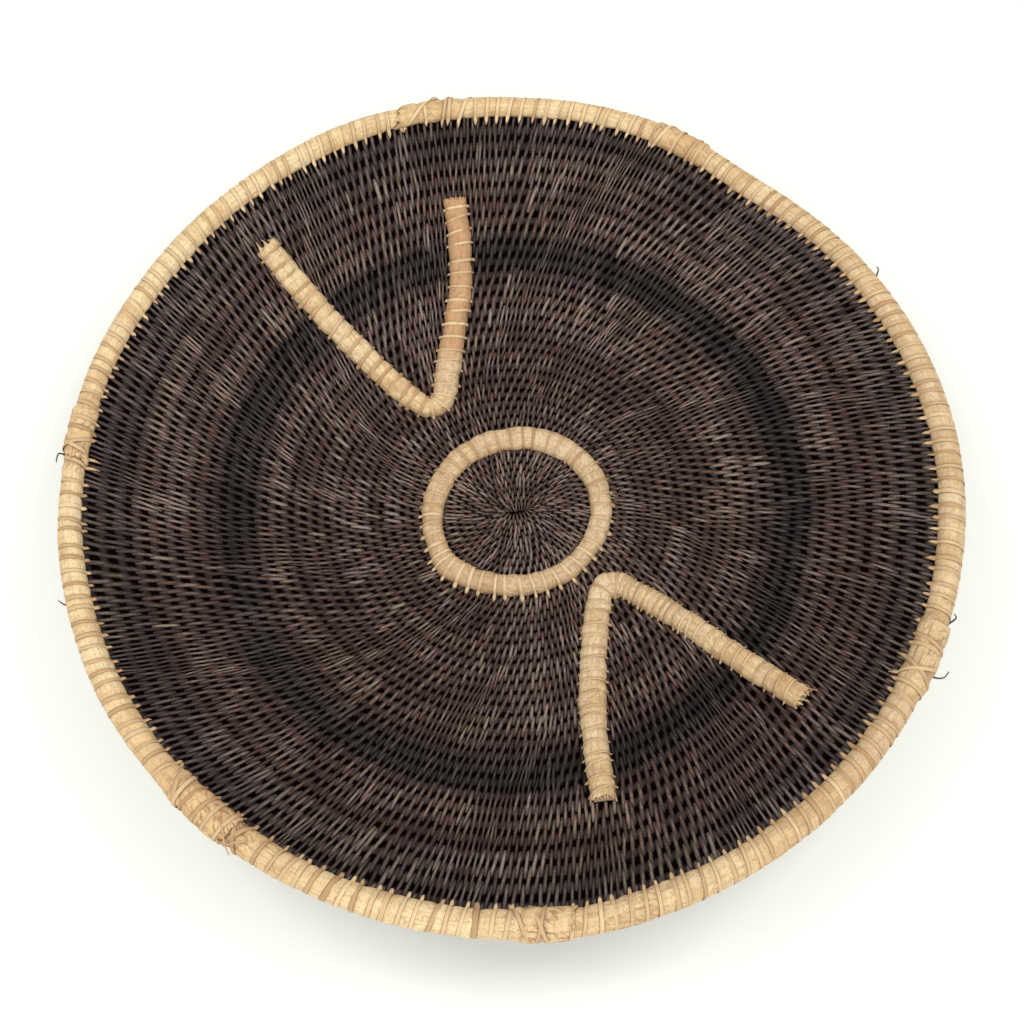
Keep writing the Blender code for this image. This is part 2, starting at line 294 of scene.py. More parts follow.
def root_strand(name, slot, dark, middle, light):
    """Sewing strand: fibres along it, painted shade down its sides and where it dives, painted
    highlights.
    """
    f = Finish(name, slot, dark)
    along, across, crown, tone = f.attributes("along", "across", "crown", "tone")
    fibre = f.noise((along * 4.5, across * 1.3, tone * 61.0), 4.0, 0.7)
    patch = f.noise(f.place(), 2.0, 0.5, 38.0)
    away = f.math("ABSOLUTE", along * 2.0 - 1.0)
    # Painted highlight along the crown, in the middle of the stitch
    painted_highlight = f.fit(crown, 0.55, 1.0) * (1.0 - f.fit(away, 0.1, 0.7))
    shade = tone + (fibre - 0.5) * 1.9 + (patch - 0.5) * 0.6 + painted_highlight * 0.30
    f.paint(f.fit(shade, 0.0, 0.6), middle)
    f.paint(f.fit(shade, 0.5, 1.25), light)
    place = f.place()
    radius = f.node("VectorMath", {"operation": "LENGTH"}, {0: place}, output=1)
    x, y = (f.node("SeparateXYZ", {}, {0: place}, output=k) for k in range(2))
    olive = f.noise((radius * 140.0, x * 17.0, y * 17.0), 2.0, 0.5)
    f.paint(f.fit(olive, 0.43, 0.60), (1.0, 0.99, 0.85), "MULTIPLY")
    # Painted shade: black down the strand's sides and at the ends where it dives, evened where two
    # rows meet
    met = f.fit(away, 0.40, 0.80)
    unshaded = (f.fit(crown, -0.2, 0.9) * (1.0 - met) + met * 0.60) * (1.0 - f.fit(away, 0.88, 1.0))
    f.paint((1.0 - unshaded) * 0.86, PAINTED_SHADE_BLACK)
    return f.finish(0.66 - fibre * 0.2, fibre, 0.5, 0.0003, 0.22)


def pale_bark(name):
    """Bark strip: fibres along it, mottled patches, cracks, and shade where a strand crosses it."""
    f = Finish(name, "pale_bark", (0.66, 0.44, 0.22))
    along, across = f.attributes("along", "across")
    pinch, ruddy, creased, dull = f.attributes("pinch", "ruddy", "creased", "dull")
    fibre = f.noise((along * 50.0, across * 760.0, ruddy), 4.0, 0.7)
    crease = f.noise((along * 850.0, across * 260.0, 3.0), 3.0, 0.6)
    split = f.noise((along * 110.0, across * 720.0 + along * 60.0, 5.0), 2.0, 0.5)
    askew = f.noise(((along + across) * 520.0, (along - across) * 120.0, 11.0), 2.0, 0.5)
    patch = f.noise(f.place(), 3.0, 0.6, 190.0)
    broad = f.noise(f.place(), 2.0, 0.5, 34.0)
    length = f.noise((along * 150.0, across * 35.0, 9.0), 1.0, 0.5)
    grit = f.noise(f.place(), 2.0, 0.6, 1100.0)
    f.paint(f.fit(patch * 0.55 + length * 0.45, 0.36, 0.64), (0.87, 0.68, 0.375))
    f.paint(f.fit(broad, 0.38, 0.66) * 0.6, (0.93, 0.78, 0.49))
    red = ruddy + (broad - 0.5) * 0.9 * f.fit(ruddy, 0.05, 0.3)
    f.paint(f.node("Clamp", {}, {"Value": red}) * 0.8, (0.64, 0.35, 0.15))
    f.paint(f.fit(fibre, 0.47, 0.66) * 0.48, (0.45, 0.275, 0.13))
    f.paint(f.fit(grit, 0.48, 0.64) * 0.42, (0.48, 0.3, 0.15))
    f.paint(f.fit(crease, 0.55, 0.70) * 0.5, (0.38, 0.23, 0.115))
    f.paint(f.fit(crease, 0.42, 0.28) * 0.35, (0.88, 0.75, 0.52))
    folded = f.math("MAXIMUM", f.fit(split, 0.57, 0.64), f.fit(askew, 0.59, 0.66)) * creased
    f.paint(folded * 0.75, (0.3, 0.15, 0.06))
    f.paint(dull, (0.76, 0.72, 0.75), "MULTIPLY")
    f.paint(pinch * 0.40, (0.33, 0.2, 0.1))
    relief = fibre * 0.5 + crease * 0.7 - folded
    return f.finish(0.70 - fibre * 0.16, relief, 0.75, 0.0005, 0.35)


def pale_strand(name):
    """Lashing strand: split cane, pale in the middle, brown edges with painted shade on its sides
    and underside.
    """
    f = Finish(name, "pale_bark", (0.45, 0.27, 0.128))
    along, across, crown, tone = f.attributes("along", "across", "crown", "tone")
    fibre = f.noise((along * 6.0, across * 4.0, tone * 83.0), 4.0, 0.6, 1.5)
    f.paint(f.fit(tone * 0.7 + (fibre - 0.5) * 0.8, 0.0, 0.8), (0.79, 0.59, 0.345))
    # Brown edges that are also painted shade down the strand's sides
    f.paint(f.fit(f.math("ABSOLUTE", across), 0.62, 0.92) * 0.62, (0.25, 0.145, 0.065))
    # Painted shade on the strand's underside, against the roll or strip it lies on
    f.paint(f.fit(crown, 0.1, -0.6) * 0.7, (0.18, 0.105, 0.055))
    tip = f.fit(f.math("ABSOLUTE", along * 2.0 - 1.0), 0.82, 1.0)
    f.paint(tip * 0.38, (0.17, 0.1, 0.06))
    return f.finish(0.58 - fibre * 0.15, fibre, 0.35, 0.00015, 0.35)


def core_cane(name, dark, light):
    f = Finish(name, "core_cane", dark)
    grain = f.noise(f.place(), 4.0, 0.6, 420.0)
    f.paint(f.fit(grain, 0.35, 0.7), light)
    return f.finish(0.85 - grain * 0.2, grain, 0.4, 0.0003, 0.5)


def coil_bundle(name):
    """Fibre bundle between two rows of stitches: brown on its crest, painted shade black down its
    sides.
    """
    f = Finish(name, "brown_strand", (0.018, 0.0095, 0.009))
    along, across, crown, tone = f.attributes("along", "across", "crown", "tone")
    fibre = f.noise((along * 4000.0, across * 6.0, tone), 3.0, 0.6)
    f.paint(f.fit(fibre, 0.35, 0.7), (0.05, 0.029, 0.026))
    crest = f.fit(f.math("ABSOLUTE", crown), 0.45, 0.98)
    # Painted shade: black down the bundle's sides
    f.paint(1.0 - crest * tone, PAINTED_SHADE_BLACK)
    return f.finish(0.8 - fibre * 0.15, fibre, 0.4, 0.0002, 0.2)


def coil_shadow(name):
    """Foundation of the coil, seen only down the holes between stitches: painted near-black for
    their shade.
    """
    f = Finish(name, "brown_strand", (0.002, 0.0008, 0.0008))
    grain = f.noise(f.place(), 3.0, 0.6, 900.0)
    f.paint(f.fit(grain, 0.4, 0.7), (0.007, 0.003, 0.003))
    return f.finish(0.95 - grain * 0.1, grain, 0.3, 0.0002, 0.0)


# The sewing strands: colour in a gap, on the strand, and at its palest: pale strands, painted
# highlight
BROWN = (0.034, 0.0168, 0.0148), (0.087, 0.0528, 0.0472), (0.274, 0.211, 0.181)
DYED = (0.009, 0.0058, 0.006), (0.025, 0.018, 0.0183), (0.09, 0.071, 0.069)
FADED = (0.022, 0.013, 0.0124), (0.061, 0.0415, 0.0385), (0.203, 0.158, 0.143)
STRANDS = {
    "brown": root_strand("brown_strand", "brown_strand", *BROWN),
    "dyed": root_strand("dyed_strand", "dyed_strand", *DYED),
    "faded": root_strand("faded_strand", "dyed_strand", *FADED),
}
bark = pale_bark("pale_bark")
lashing = pale_strand("lashing_strand")
cane = core_cane("core_cane", (0.18, 0.115, 0.065), (0.36, 0.25, 0.15))
pale_cane = core_cane("pale_core_cane", (0.36, 0.245, 0.14), (0.6, 0.45, 0.28))
shadow = coil_shadow("coil_foundation")
bundle = coil_bundle("coil_bundle")


def smooth_line(knots, count):
    """A smooth line through some points."""
    knots = np.vstack([2 * knots[0] - knots[1], knots, 2 * knots[-1] - knots[-2]])
    place = np.linspace(0, len(knots) - 3, count)
    span = np.minimum(place.astype(int), len(knots) - 4)
    t = (place - span)[:, None]
    before, here, ahead, after = (knots[span + k] for k in range(4))
    bend = 2 * before - 5 * here + 4 * ahead - after
    twist = 3 * here - before - 3 * ahead + after
    return (2 * here + (ahead - before) * t + bend * t**2 + twist * t**3) / 2


def put_in_scene(name, data):
    thing = bpy.data.objects.new(name, data)
    bpy.context.scene.collection.objects.link(thing)
    return thing


def flat_grid(name, across, up, size):
    """A flat mesh of squares, so many across and up."""
    shape = bmesh.new()
    bmesh.ops.create_grid(shape, x_segments=across, y_segments=up, size=size)
    mesh = bpy.data.meshes.new(name)
    shape.to_mesh(mesh)
    shape.free()
    return mesh


# Strands: closed lengths laid along paths
def strand_template(steps, sides):
    """A straight closed strand, one unit long for each step."""
    shape = bmesh.new()
    bmesh.ops.create_cone(
        shape, cap_ends=True, cap_tris=False, segments=sides, radius1=1, radius2=1, depth=steps
    )
    lengthways = [e for e in shape.edges if abs(e.verts[0].co.z - e.verts[1].co.z) > 0.5]
    bmesh.ops.subdivide_edges(shape, edges=lengthways, cuts=steps - 1, use_grid_fill=True)
    mesh = bpy.data.meshes.new("strand_template")
    shape.to_mesh(mesh)
    shape.free()
    return mesh


def copies(template, count):
    """One mesh of many copies of a template, in order."""
    carrier = put_in_scene("strand_copies", template)
    array = carrier.modifiers.new("copies", "ARRAY")
    array.count = count
    array.use_relative_offset = False
    drawn = carrier.evaluated_get(bpy.context.evaluated_depsgraph_get())
    mesh = bpy.data.meshes.new_from_object(drawn)
    bpy.data.objects.remove(carrier)
    return mesh


def points_of(mesh):
    flat = np.empty(len(mesh.vertices) * 3, np.float32)
    mesh.vertices.foreach_get("co", flat)
    return flat.reshape(-1, 3)


def set_points(mesh, points):
    mesh.vertices.foreach_set("co", np.ascontiguousarray(points, np.float32).ravel())
    mesh.update()


def mark(mesh, name, values):
    """Stores a number at each point for the finish to read."""
    layer = mesh.attributes.new(name, "FLOAT", "POINT")
    layer.data.foreach_set("value", np.ascontiguousarray(values, np.float32).ravel())


def strand_map(mesh, template, steps, sides, at, around, count, length, girth):
    """The pieces' own UV map: a cell for each strand, its length across and its girth up."""
    corners = np.empty(len(template.loops), np.int32)
    template.loops.foreach_get("vertex_index", corners)
    u = at[corners] / steps
    v = around[corners].astype(float)
    for face in template.polygons:
        mine = list(face.loop_indices)
        if len(mine) == sides and len(set(at[corners[mine]])) == 1:
            end = u[mine[0]]
            turned = TURN * around[corners[mine]] / sides
            u[mine] = end + (0.5 - end) * 0.03 * (1 + np.cos(turned))
            v[mine] = sides * (0.5 + 0.4 * np.sin(turned))
        elif v[mine].max() - v[mine].min() > 1.5:
            v[mine] = np.where(v[mine] < 0.5, sides, v[mine])
    columns = max(1, math.ceil(math.sqrt(count * girth / length)))
    rows = math.ceil(count / columns)
    number = np.arange(count)[:, None]
    across = (number % columns + 0.04 + 0.92 * u) / columns
    up = (number // columns + 0.06 + 0.88 * v / sides) / rows
    layer = mesh.uv_layers.new(name="OFBake")
    layer.uv.foreach_set("vector", np.stack((across, up), -1).astype(np.float32).ravel())


def show(name, mesh, finish, stands_for=()):
    """A finished piece of the basket, riding on its one body."""
    mesh.shade_smooth()
    mesh.materials.clear()
    mesh.materials.append(finish.material)
    mesh.name = name
    piece = put_in_scene(name, mesh)
    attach(piece, "root")
    if stands_for:
        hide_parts(*stands_for)
    return piece


def lay_strands(name, line, half_width, half_depth, tone, finish, sides=6, stands_for=()):
    """A strand along each path, flat against the surface below it.

    The line gives the paths and that surface's normals.
    """
    paths, normals = line
    count, places = paths.shape[:2]
    steps = places - 1
    template = strand_template(steps, sides)
    base = points_of(template)
    at = np.rint(base[:, 2] + steps / 2).astype(int)
    angle = np.arctan2(base[:, 1], base[:, 0])
    around = np.floor(angle / TURN * sides + 0.25).astype(int) % sides
    mesh = copies(template, count)
    side = unit(np.cross(np.gradient(paths, axis=1), normals))
    up = unit(np.cross(side, np.gradient(paths, axis=1)))
    wide = np.broadcast_to(half_width, (count, places))[:, at, None]
    deep = np.broadcast_to(half_depth, (count, places))[:, at, None]
    cosine, sine = np.cos(angle), np.sin(angle)
    out = side[:, at] * wide * cosine[None, :, None] + up[:, at] * deep * sine[None, :, None]
    set_points(mesh, paths[:, at] + out)
    for label, values in (("along", at / steps), ("across", cosine), ("crown", sine)):
        mark(mesh, label, np.tile(values, (count, 1)))
    mark(mesh, "tone", np.repeat(np.asarray(tone, float), len(at)))
    length = np.linalg.norm(np.diff(paths, axis=1), axis=-1).sum(1).mean()
    girth = 4 * float(np.mean(half_width))
    strand_map(mesh, template, steps, sides, at, around, count, length, girth)
    # Side, up and the way along are a left-handed set, so the faces come out turned inwards
    mesh.flip_normals()
    return show(name, mesh, finish, stands_for)


# The coil and its stitches
STITCH_WIDTH_SHARE = 0.54
STITCH_REACH_SHARE = 0.84
STITCH_DEPTH = 0.0012
STITCH_DIVE = 0.0016
UNDERSIDE_INSET = 0.0003
STITCH_STEPS = np.array([[-1, -0.86, -0.58, -0.29, 0, 0.29, 0.58, 0.86, 1]])
# The bundle between two rows: half its width as a share of a turn, how far under the surface, steps
BUNDLE_SHARE = 0.37
BUNDLE_SUNK = 0.00060
BUNDLE_PLACES = 800
# The foundation's fold in the slit: where it starts and ends along it, its height, half its size
FOLD_ENDS = (0.0045, -0.0034)
FOLD_HEIGHT = 0.0011
FOLD_SIZE = (0.0014, 0.0009)
FOUNDATION_SHARE = 0.60
FIRST_STITCH = 0.05
LAST_STITCH = 37.9
RIM_TUCK = 0.0012
STAGGER_HOLD = 0.48
ADDING_SPOKES = 13
# One strand: how many stitches it lasts, its least tone, and how much paler it can be
STRAND_STITCHES = (14, 70)
STRAND_TONE = 0.16
STRAND_PALER = 0.62
# Paler single stitches: how many there are, how much paler, and how much an added one is
STRAY_SHARE = 0.025
STRAY_PALER = 0.35
ADDED_PALER = 0.28
# Least share of the pitch that a stitch goes ahead, however the stagger holds it back
LEAST_STEP = 0.45
# How unevenly the strand is sewn: the spread of each measure of a stitch
SPREAD = {
    "pitch": 0.03, "tone": 0.13, "length": 0.05, "place": 0.04, "lean": math.radians(3),
    "height": 0.00007, "width": 0.07,
}
# An added stitch is longer by a share, and stands up; one that comes out shorter is drawn out
ADDED_LONGER = 0.16
ADDED_RISE = 0.0002
SHORTEST_STITCH = 0.0022
# A stitch is added on a spoke when this much room has come up, and anywhere when so much has
ROOM_ON_SPOKE = 0.5
ROOM_ANYWHERE = 1.6
SPOKE_DRIFT = 0.09
# Pitch of the stitches at the middle, and how much it grows between two distances from it
FINEST_PITCH = 0.0014
PITCH_STEPS = ((0.0009, 0.0022, 0.0048), (0.0006, 0.005, 0.070))
STITCHES_A_PIECE = 1850


def coil_edge(turns):
    """Outer side of a turn: the last one thins out under the rim roll."""
    return np.minimum(coil_radius(turns), WALL_RADIUS + RIM_TUCK)


def coil_middle(turns):
    return (coil_radius(turns) + coil_edge(turns + 1)) / 2


def stitch_pitch(radius):
    grown = (more * float(smooth(near, far, radius)) for more, near, far in PITCH_STEPS)
    return sum(grown, FINEST_PITCH)


def coil_stretch(radius, azimuth):
    """How much longer a turn is near the slit than a round one of its radius."""
    slit = SLIT_HALF_LENGTH * math.exp(-((radius / SLIT_REACH) ** 2))
    turned = azimuth - SLIT_TURN
    return math.hypot((radius + slit) * math.sin(turned), radius * math.cos(turned)) / radius


# Lean of the stitches from the spokes in degrees, by distance from the middle
LEAN_PLACES = (0.004, 0.020, 0.060, 0.090, 0.120, 0.150, 0.180)
LEAN_DEGREES = (0, 7, 11, 15, 15, 12.5, 10.5)


def stitch_lean(azimuth, radius):
    """Lean of a stitch: its outer end goes ahead, more in some quarters than others."""
    place = Vector((2.4 * math.cos(azimuth), 2.4 * math.sin(azimuth), 14 * radius))
    uneven = 9 * float(smooth(0.01, 0.06, radius)) * noise.noise(place)
    return math.radians(float(np.interp(radius, LEAN_PLACES, LEAN_DEGREES)) + uneven)


def plan_stitches():
    """Place of each stitch along the coil in turns, and which ones are added.

    A stitch goes between two stitches of the turn before, ahead of their middle by its lean.  As
    the turns grow, a second stitch goes into the same gap on some of the thirteen spokes.
    """
    turns, leans, added = [FIRST_STITCH], [0.0], [0.0]
    gap, short = -1, 0.0
    spokes = np.arange(ADDING_SPOKES) + chance.uniform(-0.3, 0.3, ADDING_SPOKES)
    spokes = spokes / ADDING_SPOKES
    while turns[-1] < LAST_STITCH:
        last = turns[-1]
        radius = float(coil_middle(last))
        round_length = TURN * radius * coil_stretch(radius, coil_azimuth(last))
        pitch = stitch_pitch(radius) / round_length
        ahead = last + pitch * (1 + SPREAD["pitch"] * chance.normal())
        lean = stitch_lean(coil_azimuth(ahead), radius)
        extra = 0.0
        if ahead > FIRST_STITCH + 1:
            width = coil_radius(last + 1) - coil_radius(last)
            drawn = width * math.tan(lean) / (TURN * radius)
            if gap < 0:
                gap = bisect.bisect_left(turns, ahead - 1 - drawn) - 1
            wider = (turns[gap + 2] - turns[gap + 1]) / pitch - 1
            drift = SPOKE_DRIFT * math.log(radius)
            crossing = np.any(np.floor(ahead - spokes - drift) > np.floor(last - spokes - drift))
            if short > (ROOM_ON_SPOKE if crossing else ROOM_ANYWHERE):
                extra = 1.0
                short -= 1
            else:
                gap += 1
                short += wider
            middle = (turns[gap] + turns[gap + 1]) / 2 + 1 + drawn
            ahead = max(ahead + STAGGER_HOLD * (middle - ahead), last + LEAST_STEP * pitch)
        turns.append(ahead)
        leans.append(lean)
        added.append(extra)
    return np.array((turns, leans, added))


def strand_tones(added):
    """Tone of each stitch: the strand runs out and a new one, paler or darker, is laid in."""
    tones = np.empty(len(added))
    first = 0
    while first < len(added):
        last = first + int(chance.integers(*STRAND_STITCHES))
        tones[first:last] = STRAND_TONE + STRAND_PALER * chance.beta(2.0, 2.4)
        first = last
    stray = chance.random(len(added)) < STRAY_SHARE
    lifted = np.maximum(0.8 * added, 0.4 * np.roll(added, 1))
    tones = tones + chance.normal(0, SPREAD["tone"], len(added))
    return np.clip(tones + STRAY_PALER * stray + ADDED_PALER * lifted, 0.02, 1.2)


def stitch_line(plan, face):
    """Lines of the stitches on one face of the coil: 1 for the inside, -1 for the underside."""
    turns, leans, added = plan
    count = len(turns)
    pitch = coil_edge(turns + 1) - coil_radius(turns)
    middle = coil_middle(turns)[:, None]
    longer = ADDED_LONGER * added + np.abs(chance.normal(0, SPREAD["length"], count))
    long = STITCH_REACH_SHARE * (1 + longer)
    reach = (np.maximum(pitch, SHORTEST_STITCH) * long)[:, None]
    nudge = chance.normal(0, SPREAD["place"], (count, 1)) * reach
    radius = np.maximum(middle + nudge + STITCH_STEPS * reach, 0.0004)
    lean = np.tan(leans + chance.normal(0, SPREAD["lean"], count))[:, None]
    azimuth = coil_azimuth(turns)[:, None] - STITCH_STEPS * reach * lean / middle
    rise = chance.normal(0, SPREAD["height"], (count, 1)) + ADDED_RISE * added[:, None]
    rise = rise if face > 0 else rise / 2 - UNDERSIDE_INSET
    crown = WALL_THICKNESS / 2 - STITCH_DEPTH / 2 + rise
    away = np.abs(STITCH_STEPS)
    sunk = 0.22 * away**2 + 0.78 * np.clip((away - 0.8) / 0.2, 0, 1) ** 1.4
    paths, normals = on_wall(radius, azimuth, face * (crown - STITCH_DIVE * sunk))
    return paths, face * normals


def tone_shift(radius, azimuth):
    """Shift in the strand's tone: near the dyed band's edges, paler towards +y, darker on the lower
    left.
    """
    band_start, band_end = COIL_RUNS[1][1], COIL_RUNS[2][1]
    in_band = (radius >= band_start) & (radius < band_end)
    from_edge = np.minimum(np.abs(radius - band_start), np.abs(radius - band_end))
    change = np.where(in_band, 0.15, -0.10) * bell(from_edge / 0.0045)
    change += in_band * (0.05 + 0.10 * np.sin(azimuth) - 0.08 * np.cos(azimuth))
    outside = (radius >= band_end) * (1 - smooth(0.158, 0.166, radius))
    change += outside * (0.14 * np.sin(azimuth) + 0.04 * np.cos(azimuth))
    lower_left = bell(round_gap(math.radians(222), azimuth) / 0.7)
    return change - 0.11 * lower_left * smooth(0.060, 0.095, radius) * (radius < band_start)


def sew_coil():
    plan = plan_stitches()
    turns, _, added = plan
    tones = strand_tones(added)
    middle = coil_middle(turns)
    tones = tones + tone_shift(middle, coil_azimuth(turns))
    stretch = [coil_stretch(*place) for place in zip(middle, coil_azimuth(turns))]
    spacing = np.gradient(turns) * TURN * middle * stretch
    spacing = np.convolve(np.pad(spacing, 2, "edge"), np.ones(5) / 5, "valid")
    taper = 1 - 0.3 * np.abs(STITCH_STEPS) ** 8
    inner = 0.0
    for node, outer, strand, pale in COIL_RUNS:
        run = (middle >= inner) & (middle < outer)
        inner = outer
        parts = max(1, math.ceil(run.sum() / STITCHES_A_PIECE))
        for face, side in ((1, "inside"), (-1, "underside")):
            for number, chosen in enumerate(np.array_split(np.flatnonzero(run), parts), 1):
                line = stitch_line(plan[:, chosen], face)
                uneven = 1 + chance.normal(0, SPREAD["width"], len(chosen))
                wide = (spacing[chosen] * STITCH_WIDTH_SHARE / 2 * uneven)[:, None] * taper
                name = f"{node}_stitches_{side}" + (f"_{number}" if parts > 1 else "")
                tone = tones[chosen] + pale
                deep = STITCH_DEPTH / 2 * taper
                lay_strands(name, line, wide, deep, tone, STRANDS[strand], stands_for=(node,))


def lay_foundation():
    """The coil under the stitches, one unbroken strand folded at the slit and ending at the rim."""
    turns = np.linspace(0.02, COIL_TURNS, COIL_TURNS * 44)
    pitch = coil_edge(turns + 1) - coil_radius(turns)
    middle = coil_middle(turns)
    spiral, upright = on_wall(middle, coil_azimuth(turns), 0.0)
    along_slit = math.cos(SLIT_TURN), math.sin(SLIT_TURN), 0
    fold = np.linspace(*FOLD_ENDS, 5)[:, None] * along_slit + (MIDDLE_SHIFT, 0, FOLD_HEIGHT)
    paths = np.concatenate((fold, spiral))[None]
    normals = np.concatenate((np.tile((0.0, 0.0, 1.0), (len(fold), 1)), upright))[None]
    wide = np.maximum(FOUNDATION_SHARE * pitch, 0.0008)
    wide = np.concatenate((np.full(len(fold), FOLD_SIZE[0]), wide))[None]
    deep = np.full_like(wide, WALL_THICKNESS / 2 - STITCH_DEPTH)
    deep[:, : len(fold)] = FOLD_SIZE[1]
    nodes = [run[0] for run in COIL_RUNS]
    lay_strands("coil_foundation", (paths, normals), wide, deep, [0.3], shadow, 8, nodes)


def lay_bundles():
    """The coil's bundles where two rows of stitches meet, one length for each run of the coil."""
    turns = np.linspace(0.05, COIL_TURNS - 1, 3000)
    bounds = [0.0, *(run[1] for run in COIL_RUNS)]
    ends = np.interp(bounds, coil_radius(turns + 1), turns)
    along = np.array([np.linspace(*pair, BUNDLE_PLACES) for pair in zip(ends[:-1], ends[1:])])
    radius, azimuth = coil_radius(along + 1), coil_azimuth(along)
    wide = BUNDLE_SHARE * (coil_radius(along + 1.5) - coil_radius(along + 0.5))
    wide = wide * (1 + 0.5 * smooth(0.006, 0.002, radius))
    deep = np.full_like(wide, WALL_THICKNESS / 2 - BUNDLE_SUNK)
    tones = [{"brown": 1.0, "faded": 0.7, "dyed": 0.2}[run[2]] for run in COIL_RUNS]
    lay_strands("coil_bundle", on_wall(radius, azimuth, 0.0), wide, deep, tones, bundle, 8)


# Bark strips: sheets of bark over a core
def lay_sheet(name, points, outward, thickness, marks, closed=False, stands_for=()):
    """A strip of bark: its outer points are given row by row along it, and it is solid inwards."""
    rows, columns = points.shape[:2]
    mesh = flat_grid(name, rows - 1, columns - 1, 1)
    flat = points_of(mesh)
    row = np.rint((flat[:, 0] + 1) / 2 * (rows - 1)).astype(int)
    column = np.rint((flat[:, 1] + 1) / 2 * (columns - 1)).astype(int)
    set_points(mesh, points[row, column])
    for label, values in marks.items():
        mark(mesh, label, np.broadcast_to(values, (rows, columns))[row, column])
    middle = mesh.polygons[len(mesh.polygons) // 2]
    corner = middle.vertices[0]
    if Vector(outward[row[corner], column[corner]]).dot(middle.normal) < 0:
        mesh.flip_normals()
    if closed:
        shape = bmesh.new()
        shape.from_mesh(mesh)
        bmesh.ops.remove_doubles(shape, verts=shape.verts, dist=1e-6)
        shape.to_mesh(mesh)
        shape.free()
    wall = show(name, mesh, bark, stands_for).modifiers.new("bark_thickness", "SOLIDIFY")
    wall.thickness = thickness
    wall.offset = -1.0


def ripple(points, scale, seed):
    """Smooth uneven heights, from -1 to 1, at each point."""
    flat = points.reshape(-1, 3) * scale
    heights = [noise.noise(Vector(point) + Vector((seed, 0, 0))) for point in flat]
    return np.array(heights).reshape(points.shape[:-1])


# The rim roll.  Its laps: azimuth, skew of the end, length of the tail, and the ramp up to it
LAPS = in_mm(
    1,
    (-134, 4, 22, 5), (-89, 4, 14, 4), (-31, 2, 24, 6), (59.6, 2, 22, 1.2), (99.5, 7.5, 14, 5),
    (172, 5, 14, 4),
)
LAP_LIFT = 0.0011
RIM_BARK = 0.00064
BARK_STEP = 0.00064
# How far to each side a lashing holds the bark down, and how unevenly the bark's ends are torn
RIM_PINCH = 0.0013
TRIM_PINCH = 0.0012
RIM_TORN = 0.0007
TRIM_TORN = 0.0006
RIM_LASHINGS = 200
RIM_LASHING_LEAN = 0.0020
RIM_LASHING_SIZE = (0.00096, 0.00022)
# How far the bark lies in the roll at a lashing, and how far it swells between two
BARK_SUNK = 0.00036
BARK_SWELL = 0.00034
# Creases in the bark: how fine, seed, height, and on the rim how much higher where it is creased
RIM_CREASES = ((420.0, 7.7, 0.00014, 0.0003), (120.0, 2.3, 0.00030, 0.0005))
TRIM_CREASES = ((380.0, 1, 0.00018), (150.0, 2, 0.00028))
RIM_LASHING_WRAP = math.radians(152)
# The lashing's pegs, from the far end to the roll: share of their length, and height from the wall
PEG_SHARES = np.array([[1.0, 0.45]])
PEG_LIFTS = np.array([[0.0023, 0.0029]])
PEG_START = 0.0051
PEG_LEAN = 0.12
# Length of the plain lashings' pegs: the least, what chance adds, and what the rim's left side adds
PEG_LENGTHS = (0.0010, 0.0010, 0.0008)
PEG_RIGHT_SHARE = 1.2
# How deep the lashing lies in the roll, how far it rises to cross a lap, and how uneven it is
LASHING_SUNK = 0.00012
CROSSING_RISE = 0.0003
LASHING_UNEVEN = 0.00005
# Where the rim's bark is ruddy, dull or creased, and its lashing pale: azimuth, reach, how much
RUDDY_PLACES = (
    (-131, 14, 0.72), (63, 5.5, 0.75), (-45, 14, 0.3), (174, 6, 0.5), (-88, 7, 0.35),
    (-75, 7, 0.25), (20, 16, 0.2), (101, 4, 0.4),
)
DULL_PLACES = ((2, 30, 0.75), (-38, 30, 0.80), (34, 22, 0.55), (-76, 12, 0.35))
CREASED_PLACES = (
    (-128, 9, 0.9), (-88, 4.5, 1.0), (-76, 6, 0.6), (-27, 5, 0.7), (63, 5, 0.5), (174, 5, 0.8),
    (101, 4, 0.5),
)
PALE_LASHING_PLACES = ((88, 30, 0.34), (128, 24, 0.25), (-100, 20, 0.12))
# Strands that cross a lap askew: azimuth inside the rim and outside it, and the peg's length
CROSS_LASHINGS = in_mm(
    2,
    (104.3, 99.4, 2.2), (98.9, 97.4, 3), (96.4, 94.3, 3.4), (-28.6, -31.2, 4.2), (-31, -28.9, 4),
    (-25.2, -26.6, 1.6), (-91.2, -89.2, 1.4), (-88.9, -87.2, 1.2), (-87, -88.3, 1.4),
    (-134.6, -134.2, 1.2), (-137, -134, 1.2), (-127.4, -125, 1.4), (-124.6, -126.6, 1.6),
    (176.9, 174.6, 4.6), (178.2, 176.9, 5), (174.2, 175.6, 2), (66.6, 64.6, 1.8),
    (61.2, 60.2, 1.6),
)


def roll_frame(azimuth, around, radius):
    """Points round the rim roll, and the way out: around grows from 0 outside over the top."""
    azimuth, around, radius = np.broadcast_arrays(azimuth, around, radius)
    turned = around + RIM_SLOPE
    radius = radius + round_rim(RIM_FULLER, azimuth)
    out = pressed(ROLL_CENTRE + radius * np.cos(turned), azimuth)
    points = polar(out, azimuth, RIM_HEIGHT + radius * np.sin(turned))
    return points, polar(np.cos(turned), azimuth, np.sin(turned))


def lap_rise(azimuth):
    """How far the roll's outside stands up where one strip's tail lies on the next one's head."""
    rise = np.zeros_like(np.asarray(azimuth, float))
    for degrees, skew, length, ramp in LAPS:
        gap = round_gap(math.radians(degrees), azimuth) * ROLL_CENTRE
        ended = smooth(length, length + 0.001, gap)
        rise = np.maximum(rise, smooth(-ramp - skew, -skew, gap) * (1 - ended))
    return LAP_LIFT * rise


